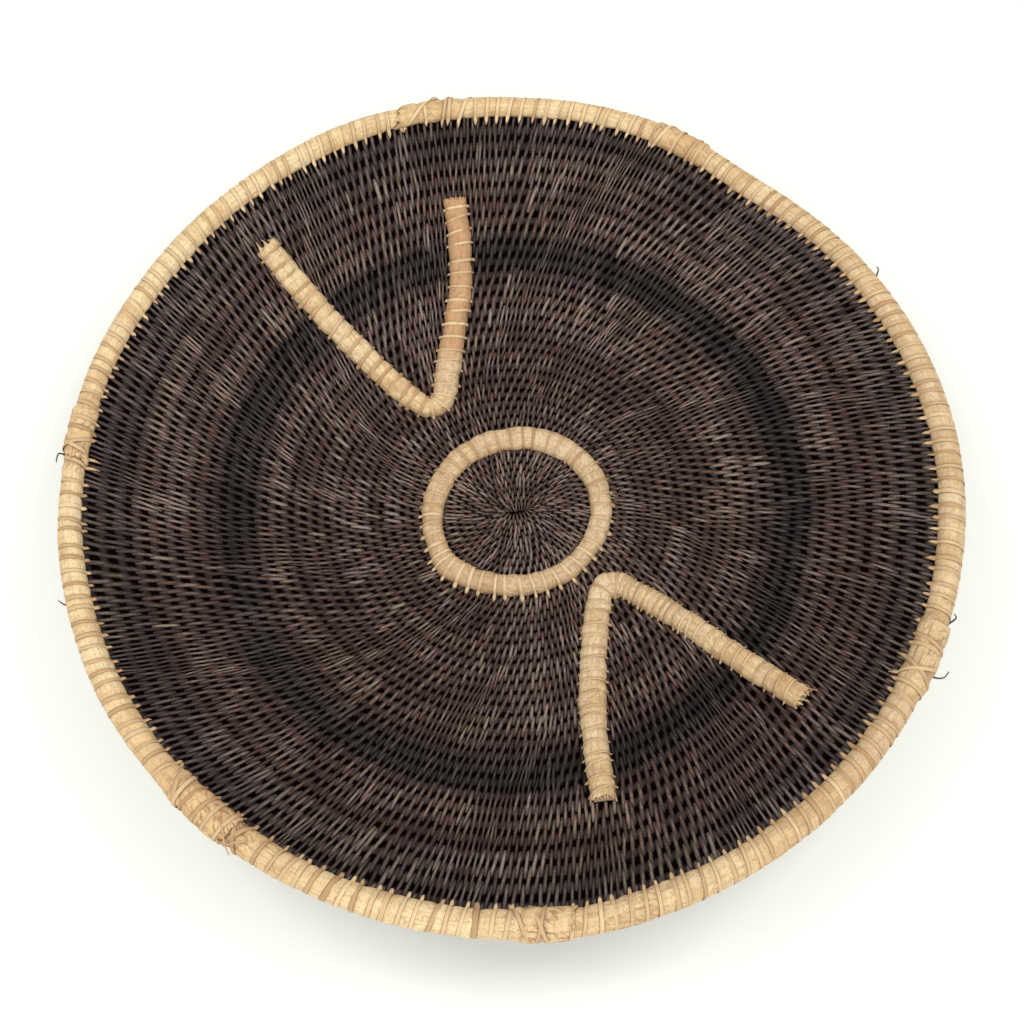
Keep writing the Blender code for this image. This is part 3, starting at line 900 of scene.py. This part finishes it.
def rim_lashing_azimuths():
    """Azimuths of the plain lashings: each crossing strand takes the place of the nearest one."""
    even = np.linspace(0, TURN, RIM_LASHINGS, endpoint=False)
    even = even + chance.normal(0, 0.08, RIM_LASHINGS) * TURN / RIM_LASHINGS
    for place in crossings:
        even = np.delete(even, np.abs(round_gap(place, even)).argmin())
    return even


crossings = np.radians([(inside + outside) / 2 for inside, outside, peg in CROSS_LASHINGS])
rim_lashings = rim_lashing_azimuths()


def rim_puff(azimuth, around):
    """How far the bark swells between two lashings: 0 under a lashing, 1 well between."""
    leaned = azimuth + RIM_LASHING_LEAN * (around / RIM_WRAP) * -1 / ROLL_CENTRE
    order = np.sort(np.concatenate((rim_lashings, crossings)) % TURN)
    order = np.concatenate((order[-1:] - TURN, order, order[:1] + TURN))
    place = leaned % TURN
    after = np.clip(np.searchsorted(order, place), 1, len(order) - 1)
    away = np.minimum(place - order[after - 1], order[after] - place) * ROLL_CENTRE
    return 1 - bell(away / RIM_PINCH)


def near_places(places, azimuth):
    """How much of something there is at an azimuth, from a list of its places round the rim."""
    much_there = np.zeros_like(azimuth)
    for degrees, reach, much in places:
        away = round_gap(math.radians(degrees), azimuth) / math.radians(reach)
        much_there = np.maximum(much_there, much * bell(away))
    return much_there


def lay_rim_strips():
    starts = [math.radians(lap[0]) for lap in LAPS]
    for number, start in enumerate(starts):
        following = (number + 1) % len(LAPS)
        skew = LAPS[number][1]
        lap_skew, lap_length, lap_ramp = LAPS[following][1:]
        end = start + (starts[following] - start) % TURN
        lap_start = end - lap_skew / ROLL_CENTRE
        tail = end + lap_length / ROLL_CENTRE
        stations = np.linspace(start, tail, int((tail - start) * ROLL_CENTRE / BARK_STEP))
        share = np.linspace(1, -1, 25)[None, :]
        reach = smooth(0, 0.03, stations - start)[:, None]
        azimuth = stations[:, None] + (1 - reach) * skew / ROLL_CENTRE * share
        ending = smooth(tail - 0.05, tail, stations)[:, None]
        azimuth = azimuth + ending * lap_skew / ROLL_CENTRE * share
        torn = RIM_TORN * chance.normal(0, 1, share.shape) / ROLL_CENTRE
        azimuth = azimuth + torn * (stations >= stations[-1])[:, None]
        rise = LAP_LIFT * smooth(lap_start - lap_ramp / ROLL_CENTRE, lap_start, stations)[:, None]
        edge, _ = roll_frame(stations[:, None], RIM_WRAP * np.array([[1.0, -1.0]]), ROLL_RADIUS)
        wave = ripple(edge, 190.0, 3.1 * number)
        around = RIM_WRAP * share * (1 + 0.06 * np.where(share > 0, wave[:, :1], wave[:, 1:]))
        flat, _ = roll_frame(azimuth, around, ROLL_RADIUS)
        puff = rim_puff(azimuth, around)
        creased = near_places(CREASED_PLACES, azimuth)
        crease = sum(
            ripple(flat, fine, seed * number) * (high + more * creased)
            for fine, seed, high, more in RIM_CREASES
        )
        stand = ROLL_RADIUS - BARK_SUNK + rise + BARK_SWELL * puff + crease
        points, normals = roll_frame(azimuth, around, stand)
        marks = {
            "along": (stations * ROLL_CENTRE)[:, None],
            "across": around * ROLL_RADIUS,
            "pinch": (1 - puff) ** 2,
            "ruddy": near_places(RUDDY_PLACES, azimuth),
            "creased": creased,
            "dull": near_places(DULL_PLACES, azimuth),
        }
        node = f"rim_strip_{number + 1}"
        lay_sheet(f"{node}_bark", points, normals, RIM_BARK, marks, stands_for=(node,))


def lash_rim():
    """The lashing strand: out of the wall inside, over the roll, and back into the wall beneath."""
    half_lean = RIM_LASHING_LEAN * (1 + chance.normal(0, 0.35, len(rim_lashings))) / ROLL_CENTRE
    right = bell(round_gap(math.radians(-20), rim_lashings) / 0.7)
    left = bell(round_gap(math.radians(100), rim_lashings) / 0.5)
    uneven = chance.random(len(rim_lashings))
    least, more, left_more = PEG_LENGTHS
    plain_pegs = least + more * uneven * (1 + PEG_RIGHT_SHARE * right) + left_more * left
    crossing = np.array(CROSS_LASHINGS)
    inner = np.concatenate((rim_lashings + half_lean, np.radians(crossing[:, 0])))[:, None]
    outer = np.concatenate((rim_lashings - half_lean, np.radians(crossing[:, 1])))[:, None]
    peg = np.concatenate((plain_pegs, crossing[:, 2]))[:, None]
    crossed = np.concatenate((np.zeros(len(rim_lashings)), np.ones(len(crossing))))[:, None]
    count = len(inner)
    around = np.linspace(1, -1, 17)[None, :]
    middle = (inner + outer) / 2 * (1 - crossed) + outer * crossed
    azimuth = middle + (inner - middle) * around.clip(0, 1)
    azimuth = azimuth + (outer - middle) * (-around).clip(0, 1)
    stand = ROLL_RADIUS - LASHING_SUNK + lap_rise(azimuth) + CROSSING_RISE * crossed
    stand = stand + LASHING_UNEVEN * chance.normal(0, 1, (count, 1))
    over = roll_frame(azimuth, RIM_LASHING_WRAP * around, stand)
    foot = ROLL_CENTRE - PEG_START - round_rim(RIM_FULLER, inner) - PEG_SHARES * peg
    lean = (inner - outer) * PEG_LEAN
    pegs = on_wall(foot, inner + lean * PEG_SHARES, PEG_LIFTS)
    beneath = outer - lean * PEG_SHARES[:, ::-1]
    ends, into_wall = on_wall(foot[:, ::-1], beneath, -PEG_LIFTS[:, ::-1])
    line = [np.concatenate(parts, 1) for parts in zip(pegs, over, (ends, -into_wall))]
    taper = np.ones(line[0].shape[1])
    taper[[0, 1, -2, -1]] = 0.25, 0.72, 0.72, 0.25
    half_width, half_depth = RIM_LASHING_SIZE
    wide = half_width * (1 + chance.normal(0, 0.12, (count, 1))) * taper
    tone = chance.normal(0.48, 0.2, count) + near_places(PALE_LASHING_PLACES, inner[:, 0])
    tone = np.clip(tone - 0.15 * near_places(RUDDY_PLACES, inner[:, 0]), 0, 1)
    lay_strands("rim_lashing", line, wide, half_depth + 0 * wide, tone, lashing, 8)


def lay_rim_core():
    azimuth = np.linspace(0, TURN + 0.01, 721)
    centre = polar(pressed(ROLL_CENTRE, azimuth), azimuth, RIM_HEIGHT)
    normals = roll_frame(azimuth, math.pi / 2, 0.0)[1]
    thick = (CORE_RADIUS - 0.0004 + round_rim(RIM_FULLER, azimuth))[None]
    line = centre[None], normals[None]
    lay_strands("rim_core_cane", line, thick, thick, [0.5], cane, 12, ("rim_core",))


# Loose ends at the rim: azimuth, distance from the middle and height of each bend
DARK_ENDS = (
    in_mm(1, (-29.3, 188, 50), (-29.3, 192.5, 51), (-28.9, 195.2, 52), (-28.1, 195.8, 53)),
    in_mm(1, (-22.6, 189.5, 53), (-21.6, 191.8, 53), (-21.1, 192, 52), (-20.8, 191.2, 51)),
    in_mm(1, (27.9, 186, 54), (28.6, 189, 55), (29, 190, 55), (29.3, 189.8, 55)),
    in_mm(1, (176.6, 188.5, 53), (176.4, 191.8, 54), (176.8, 193, 53), (177.4, 193.4, 52)),
    in_mm(1, (-163.1, 189, 51), (-163.3, 191.2, 52), (-163.6, 192.4, 52), (-164, 193.4, 53)),
)
PALE_ENDS = (
    in_mm(1, (98.2, 190, 52), (99, 193.8, 53), (99.7, 194.6, 53), (100.9, 191.5, 52)),
    in_mm(1, (-127.6, 185, 58.5), (-126.6, 188, 59), (-126, 190, 58), (-125, 192, 56)),
    in_mm(1, (-124, 184, 58.8), (-125, 186.8, 59.2), (-125.6, 189, 58.5), (-126.8, 191, 56)),
)


def lay_loose_ends():
    for name, ends, half_width, finish in (
        ("loose_dark_ends", DARK_ENDS, 0.00048, STRANDS["brown"]),
        ("loose_pale_ends", PALE_ENDS, 0.00055, lashing),
    ):
        paths = []
        for end in ends:
            degrees, radius, height = np.array(end).T
            paths.append(smooth_line(polar(radius, np.radians(degrees), height), 13))
        paths = np.array(paths)
        line = paths, np.broadcast_to((0.0, 0.0, 1.0), paths.shape)
        wide = half_width * np.linspace(1, 0.45, 13) * np.ones((len(ends), 1))
        lay_strands(name, line, wide, wide * 0.7, [0.4] * len(ends), finish)


# The ring and the V shapes
RING_LONG_RADIUS = 0.0385
RING_SHORT_RADIUS = 0.0360
RING_TILT = math.radians(25)
RING_CENTRE_X = 0.0026
RING_WIDTH = 0.0098
RING_HEIGHT = 0.0042
V_WIDTH = 0.0105
V_HEIGHT = 0.0045
V_BEND_CLEARANCE = 0.0018
# Split fibres at the two ends of each V: how many, and how far they stand out
FRAYED = {"upper_v": ((9, 0.0042), (5, 0.0007)), "lower_v": ((9, 0.0012), (5, 0.0036))}
FLATNESS = 0.82
# The bark of the trims: step along it, how far past its feet it reaches round, its thickness
TRIM_STEP = 0.0006
TRIM_PAST_FEET = 0.10
TRIM_BARK = 0.0006
# The lashing over the trims: half its depth and width, and how its pegs come up from the weave
TRIM_LASHING_DEPTH = 0.00024
TRIM_LASHING_WIDTH = 0.00074
TRIM_PEG_LIFTS = np.array([[-0.0009, 0.0003]])
# Where a split fibre's root lies, back from the cut end
FRAY_ROOTS = np.array([0.0040, 0.0020, 0.0006, 0.0001])
# The middle line of each V as shares of the rim's radius: its apex, its left arm, its right arm
UPPER_V = (
    (-0.168, 0.238),
    ((-0.288, 0.332), (-0.405, 0.439), (-0.513, 0.548), (-0.576, 0.620)),
    ((-0.142, 0.400), (-0.115, 0.545), (-0.110, 0.650), (-0.121, 0.764)),
)
LOWER_V = (
    (0.211, -0.168),
    ((0.184, -0.330), (0.171, -0.480), (0.171, -0.600), (0.180, -0.722)),
    ((0.312, -0.242), (0.391, -0.309), (0.511, -0.426), (0.614, -0.522)),
)
# Places along each strip: how much wider it is there on either side
RING_FULLER = in_mm(
    0,
    (0, 0.2), (35, 0.4), (60, 0.3), (90, 0.1), (108, -0.4), (114, -0.6), (127, 0.6), (140, 0.1),
    (165, -0.2), (205, -0.4), (234, 0.2),
)
# How far the ring's hand-bent strip stands out from its oval, by azimuth
RING_WAVER = in_mm(
    1,
    (0, 0.3), (20, 0.2), (40, -0.8), (60, -0.7), (80, -0.5), (100, -0.7), (120, -0.2), (140, 0.2),
    (160, 0.1), (180, 0.5), (200, 1), (218, 2.6), (238, 0.3), (260, -0.3), (280, -0.2), (300, 0.6),
    (320, 0.4), (340, 0.6),
)
UPPER_V_FULLER = in_mm(0, (0, 0.2), (88, 0.2), (100, -1), (112, 0.4), (126, 0.7), (145, 0))
LOWER_V_FULLER = in_mm(
    0,
    (0, 0), (30, 0.1), (45, 0.5), (85, 0.5), (94, -0.3), (101.5, 1.1), (110, -0.3), (120, 0),
)
# Places along each strip: how far apart its lashings are there
RING_PITCHES = in_mm(
    0,
    (0, 6), (96, 5.8), (100, 2.4), (106, 5.6), (118, 5.6), (121, 2.2), (128, 5.2), (200, 6),
)
UPPER_V_PITCHES = in_mm(0, (0, 5.9), (85, 5.8), (98, 4), (110, 5.5), (200, 6))
LOWER_V_PITCHES = in_mm(0, (0, 5.5), (96, 5.6), (106, 2.2), (130, 3.2), (150, 5), (200, 5.2))


def smooth_arm(start, shares):
    return smooth_line(np.array([start, *(np.array(shares) * RIM_RADIUS)]), 60)


def v_route(shape):
    apex_shares, *arms = shape
    apex = np.array(apex_shares) * RIM_RADIUS
    left, right = (unit(np.array(arm[0]) * RIM_RADIUS - apex) for arm in arms)
    half = math.acos(float(left @ right)) / 2
    bend = V_WIDTH / 2 + V_BEND_CLEARANCE
    centre = apex + unit(left + right) * bend / math.sin(half)
    touches = [apex + arm * bend / math.tan(half) for arm in (left, right)]
    first, last = (math.atan2(*(touch - centre)[::-1]) for touch in touches)
    angle = first + round_gap(first, last) * np.linspace(0, 1, 22)[1:-1]
    corner = centre + bend * np.stack((np.cos(angle), np.sin(angle)), -1)
    left_line, right_line = (smooth_arm(*arm) for arm in zip(touches, arms))
    return np.concatenate((left_line[::-1], corner, right_line))


def ring_route():
    angle = np.linspace(0, TURN, 241)
    long, short = RING_LONG_RADIUS * np.cos(angle), RING_SHORT_RADIUS * np.sin(angle)
    x = long * math.cos(RING_TILT) - short * math.sin(RING_TILT)
    y = long * math.sin(RING_TILT) + short * math.cos(RING_TILT)
    wavered = 1 + round_rim(evened(RING_WAVER, 1), np.arctan2(y, x)) / np.hypot(x, y)
    return np.stack((RING_CENTRE_X + x * wavered, y * wavered), -1)


def upon_wall(flat, lift):
    """Points in plan raised on to the inside of the wall, and its normals there."""
    x, y = flat[..., 0], flat[..., 1]
    radius = np.hypot(x, y)
    height = wall_height(radius) + (WALL_THICKNESS / 2 + lift) / np.cos(wall_slope(radius))
    return np.stack((x, y, height), -1), wall_normal(radius, np.arctan2(y, x))


class Trim:
    """A route on the inside of the wall, and the frames to lay strips and strands along it."""

    def __init__(self, route, width, height, closed, fuller):
        self.fuller = np.array(fuller).T
        steps = np.linalg.norm(np.diff(route, axis=0), axis=1)
        self.length = steps.sum()
        self.closed = closed
        self.width = width
        self.height = height
        self.at = np.concatenate(([0], np.cumsum(steps)))
        self.foot, self.normal = upon_wall(route, 0.0)
        self.foot[:, 2] += 0.0001
        ahead = np.gradient(self.foot, axis=0)
        if closed:
            ahead[0] = ahead[-1] = self.foot[1] - self.foot[-2]
        self.side = unit(np.cross(ahead, self.normal))

    def read(self, values, place):
        place = place % self.length if self.closed else np.clip(place, 0, self.length)
        return np.stack([np.interp(place, self.at, values[:, k]) for k in range(3)], -1)

    def half_width(self, place):
        return self.width / 2 + np.interp(place, *self.fuller)

    def over(self, place, angle, swell):
        """Points over the half-round strip: angle runs from one foot over the top to the other."""
        foot = self.read(self.foot, place)
        side, normal = (unit(self.read(values, place)) for values in (self.side, self.normal))
        cosine, sine = np.cos(angle), np.sin(angle)
        wide = (self.half_width(place) + swell) * np.sign(cosine) * np.abs(cosine) ** FLATNESS
        high = (self.height + swell) * np.sign(sine) * np.abs(sine) ** FLATNESS
        out = unit(cosine[..., None] * side + sine[..., None] * normal)
        return foot + wide[..., None] * side + high[..., None] * normal, out

    def beside(self, place, reach, lift):
        """Points on the weave beside the strip."""
        side = unit(self.read(self.side, place))
        return upon_wall(self.read(self.foot, place) + reach[..., None] * side, lift)


def trim_lashings(trim, pitches):
    """Places of the lashings along a trim, whose pitch changes along it."""
    places, at = [], 0.0032
    while at < trim.length - 0.0028:
        pitch = float(np.interp(at, *np.array(pitches).T))
        places.append(at + chance.normal(0, 0.09) * pitch)
        at += pitch
    return np.array(places)


def trim_pinch(places, place):
    """How far a trim swells between its lashings: 0 under one, 1 well between."""
    return 1 - bell(np.abs(place[..., None] - places).min(-1) / TRIM_PINCH)


def lay_trim(name, trim, places, ruddy, dull, stands_for):
    rows = int(trim.length / TRIM_STEP)
    place = np.linspace(0, trim.length, rows + 1)[:, None]
    angle = np.linspace(-TRIM_PAST_FEET, math.pi + TRIM_PAST_FEET, 19)[None, :]
    puff = trim_pinch(places, place)
    place_full, angle_full = np.broadcast_arrays(place, angle)
    flat, _ = trim.over(place_full, angle_full, 0.0)
    seed = float(len(name))
    crease = sum(ripple(flat, fine, n * seed) * high for fine, n, high in TRIM_CREASES)
    sides, _ = trim.over(place, np.array([[0.0, math.pi]]), 0.0)
    wave = ripple(sides, 170.0, 3 * seed) * 0.0007
    across = np.cos(angle)
    crease = crease + wave[:, :1] * across.clip(0, 1) + wave[:, 1:] * (-across).clip(0, 1)
    if trim.closed:
        crease = crease * smooth(0, 0.01, np.minimum(place, trim.length - place))
    swell = -0.00020 + 0.00030 * puff + crease
    points, outward = trim.over(place_full, angle_full, swell)
    if trim.closed:
        points[-1] = points[0]
    else:
        torn = chance.normal(0, TRIM_TORN, (2, angle.size))
        for row, shift in ((0, torn[0]), (-1, torn[1])):
            ahead = unit(points[row] - points[1 if row == 0 else -2])
            points[row] += ahead * shift[:, None]
    reach = angle * trim.width / 2
    marks = {
        "along": place,
        "across": reach,
        "pinch": (1 - puff) ** 2,
        "ruddy": ruddy(place),
        "creased": 0.3,
        "dull": dull(place),
    }
    lay_sheet(name, points, outward, TRIM_BARK, marks, trim.closed, stands_for)


def lash_trim(name, trim, places, half_width, lean, pegs, tone):
    """Strands over a trim: up out of the weave on one side, over the strip, and down on the other.

    Pegs are the lengths seen beside the strip, outer or left side first, one for each lashing.
    """
    count = len(places)
    angle = np.linspace(0.16, math.pi - 0.16, 11)[None, :]
    slant = lean * (1 + chance.normal(0, 0.5, (count, 1)))
    place = places[:, None] + slant * np.cos(angle)
    over = trim.over(place, np.broadcast_to(angle, place.shape), -0.00016)
    share = np.array([[1.0, 0.4]])
    half = trim.half_width(places)[:, None]
    near, far = (half + np.reshape(peg, (-1, 1)) * share for peg in pegs)
    lean = slant * 0.25 * share
    start = trim.beside(place[:, :1] + lean, near, TRIM_PEG_LIFTS)
    end = trim.beside(place[:, -1:] - lean[:, ::-1], -far[:, ::-1], TRIM_PEG_LIFTS[:, ::-1])
    line = [np.concatenate(parts, 1) for parts in zip(start, over, end)]
    taper = np.ones(line[0].shape[1])
    taper[[0, -1]] = 0.35
    wide = np.reshape(half_width, (-1, 1)) * (1 + chance.normal(0, 0.15, (count, 1))) * taper
    tone = np.clip(tone + chance.normal(0, 0.14, count), 0, 1)
    lay_strands(name, line, wide, TRIM_LASHING_DEPTH + 0 * wide, tone, lashing)


def fray_ends(name, trim, frayed):
    """Split fibres that stand out of the cut ends of a V."""
    paths, normals = [], []
    for end, inward, (count, longest) in zip((0.0, trim.length), (1, -1), frayed):
        for number in range(count):
            angle = math.pi * (0.12 + 0.76 * (number + chance.random()) / count)
            place = end + inward * FRAY_ROOTS
            line, out = trim.over(place, np.full(4, angle), -0.0006)
            ahead = unit(line[3] - line[1])
            side = unit(trim.read(trim.side, place[3]))
            beyond = longest * chance.uniform(0.3, 1.1)
            drop = (line[3] - trim.read(trim.foot, place[3])) @ trim.read(trim.normal, place[3])
            tip = line[3] + ahead * beyond + side * beyond * chance.normal(0, 0.35)
            tip = tip - out[3] * min(0.6 * drop, 0.5 * beyond)
            bend = (line[3] + tip) / 2 + out[3] * 0.0003
            paths.append(smooth_line(np.array([line[0], line[1], line[3], bend, tip]), 9))
            normals.append(np.tile(out[3], (9, 1)))
    wide = chance.uniform(0.00040, 0.00075, (len(paths), 1)) * np.linspace(1, 0.45, 9)
    tone = chance.uniform(0.4, 1.0, len(paths))
    line = np.array(paths), np.array(normals)
    lay_strands(f"{name}_frayed_fibres", line, wide, wide * 0.5, tone, lashing)


def lay_ring_core(ring):
    place = np.linspace(0, ring.length + 0.001, 300)
    normals = unit(ring.read(ring.normal, place))
    centre = ring.read(ring.foot, place) + 0.0017 * normals
    line = centre[None], normals[None]
    lay_strands("ring_core_cane", line, 0.0031, 0.0013, [0.5], pale_cane, 8, ("ring_core",))


def trim_inside():
    ring = Trim(ring_route(), RING_WIDTH, RING_HEIGHT, True, RING_FULLER)
    places = trim_lashings(ring, RING_PITCHES)

    def near_side(place):
        return 0.5 - 0.5 * np.sin(place / ring.length * TURN + RING_TILT)

    def ring_dull(place):
        return 0.64 + 0.36 * near_side(place)

    lay_trim("ring_strip_bark", ring, places, lambda place: 0.10, ring_dull, ("ring_strip",))
    lay_ring_core(ring)
    near = near_side(places)
    outer = 0.0008 + 0.0026 * near * chance.uniform(0.6, 1.1, len(places))
    pegs = outer, 0.0002
    wide = TRIM_LASHING_WIDTH + 0.0002 * near
    lash_trim("ring_lashing", ring, places, wide, 0.0004, pegs, 0.25 + 0.55 * near)
    for name, shape, fuller, pitches in (
        ("upper_v", UPPER_V, UPPER_V_FULLER, UPPER_V_PITCHES),
        ("lower_v", LOWER_V, LOWER_V_FULLER, LOWER_V_PITCHES),
    ):
        trim = Trim(v_route(shape), V_WIDTH, V_HEIGHT, False, fuller)
        places = trim_lashings(trim, pitches)
        brown_arm = 1.0 if name == "upper_v" else 0.0

        def ruddy(place):
            return 0.05 + 0.85 * brown_arm * smooth(0.60, 0.70, place / trim.length)

        def dull(place):
            return 0.42 + brown_arm * (0.58 * smooth(0.49, 0.58, place / trim.length) - 0.20)

        lay_trim(f"{name}_strip_bark", trim, places, ruddy, dull, (f"{name}_strip",))
        pegs = [0.0007 + 0.0009 * chance.random(len(places)) for side in range(2)]
        first_arm = 1 - smooth(0.50, 0.56, places / trim.length)
        wide = TRIM_LASHING_WIDTH + 0.0003 * brown_arm * first_arm
        tone = 0.45 + brown_arm * (0.40 - 0.52 * first_arm)
        lash_trim(f"{name}_lashing", trim, places, wide, 0.0008, pegs, tone)
        fray_ends(name, trim, FRAYED[name])


for node in ("upper_v_core", "lower_v_core"):
    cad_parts[node].material_slots[0].material = pale_cane.material

sew_coil()
lay_foundation()
lay_bundles()
lay_rim_core()
lay_rim_strips()
lash_rim()
lay_loose_ends()
trim_inside()


# Studio: a pale floor, and soft light from above
LAMP_COLOUR = (1.0, 0.985, 0.96)


def studio():
    floor = put_in_scene("floor", flat_grid("floor", 1, 1, 3.0))
    floor.location.z = -0.0002
    paper = Finish("floor_paper", None, (0, 0, 0))
    paper.paint(paper.node("LightPath"), (0.13, 0.13, 0.127))
    for socket, value in (
        ("Base Color", (0.89, 0.912, 0.855)),
        ("Roughness", 1.0),
        ("Specular IOR Level", 0.0),
        ("Emission Strength", 1.0),
        ("Emission Color", paper.colour),
    ):
        paper.plug(paper.surface.inputs[socket], value)
    floor.data.materials.append(paper.material)
    world = bpy.data.worlds.new("studio_air")
    bpy.context.scene.world = world
    world.use_nodes = True
    air = world.node_tree.nodes["Background"]
    air.inputs["Color"].default_value = (1.0, 0.99, 0.97, 1.0)
    air.inputs["Strength"].default_value = 0.58
    for name, place, size, power in (
        ("left_lamp", (-0.62, 0.16, 1.05), 0.5, 4.8),
        ("right_lamp", (0.62, 0.16, 1.05), 0.5, 4.8),
        ("front_lamp", (0.02, -1.15, 0.62), 0.9, 6.4),
    ):
        lamp = bpy.data.lights.new(name, "AREA")
        lamp.size = size
        lamp.energy = power
        lamp.color = LAMP_COLOUR
        holder = put_in_scene(name, lamp)
        holder.location = place
        towards = Vector((0, 0, 0.02)) - Vector(place)
        holder.rotation_euler = towards.to_track_quat("-Z", "Y").to_euler()


# The camera, as fitted to the rows of the coil in the photograph
PHOTO_HEIGHT = 1025
FOCAL_LENGTH = 1377.2
SHIFT = (0.8, -1.9)
SENSOR_WIDTH = 36.0
ELEVATION = math.radians(68.63)
ROLL = math.radians(-1.41)
DISTANCE = 0.627


def aim_camera():
    target = Vector((0, 0, 0.005))
    back = Vector((0, -math.cos(ELEVATION), math.sin(ELEVATION)))
    camera = bpy.data.cameras.new("camera")
    camera.sensor_width = SENSOR_WIDTH
    camera.lens = SENSOR_WIDTH * FOCAL_LENGTH / PHOTO_HEIGHT
    camera.shift_x, camera.shift_y = (pixels / PHOTO_HEIGHT for pixels in SHIFT)
    holder = put_in_scene("camera", camera)
    roll = Matrix.Rotation(ROLL, 4, "Z")
    turn = (-back).to_track_quat("-Z", "Y").to_matrix().to_4x4()
    holder.matrix_world = Matrix.Translation(target + back * DISTANCE) @ turn @ roll
    bpy.context.scene.camera = holder


studio()
aim_camera()
bpy.context.scene.view_settings.view_transform = "Standard"
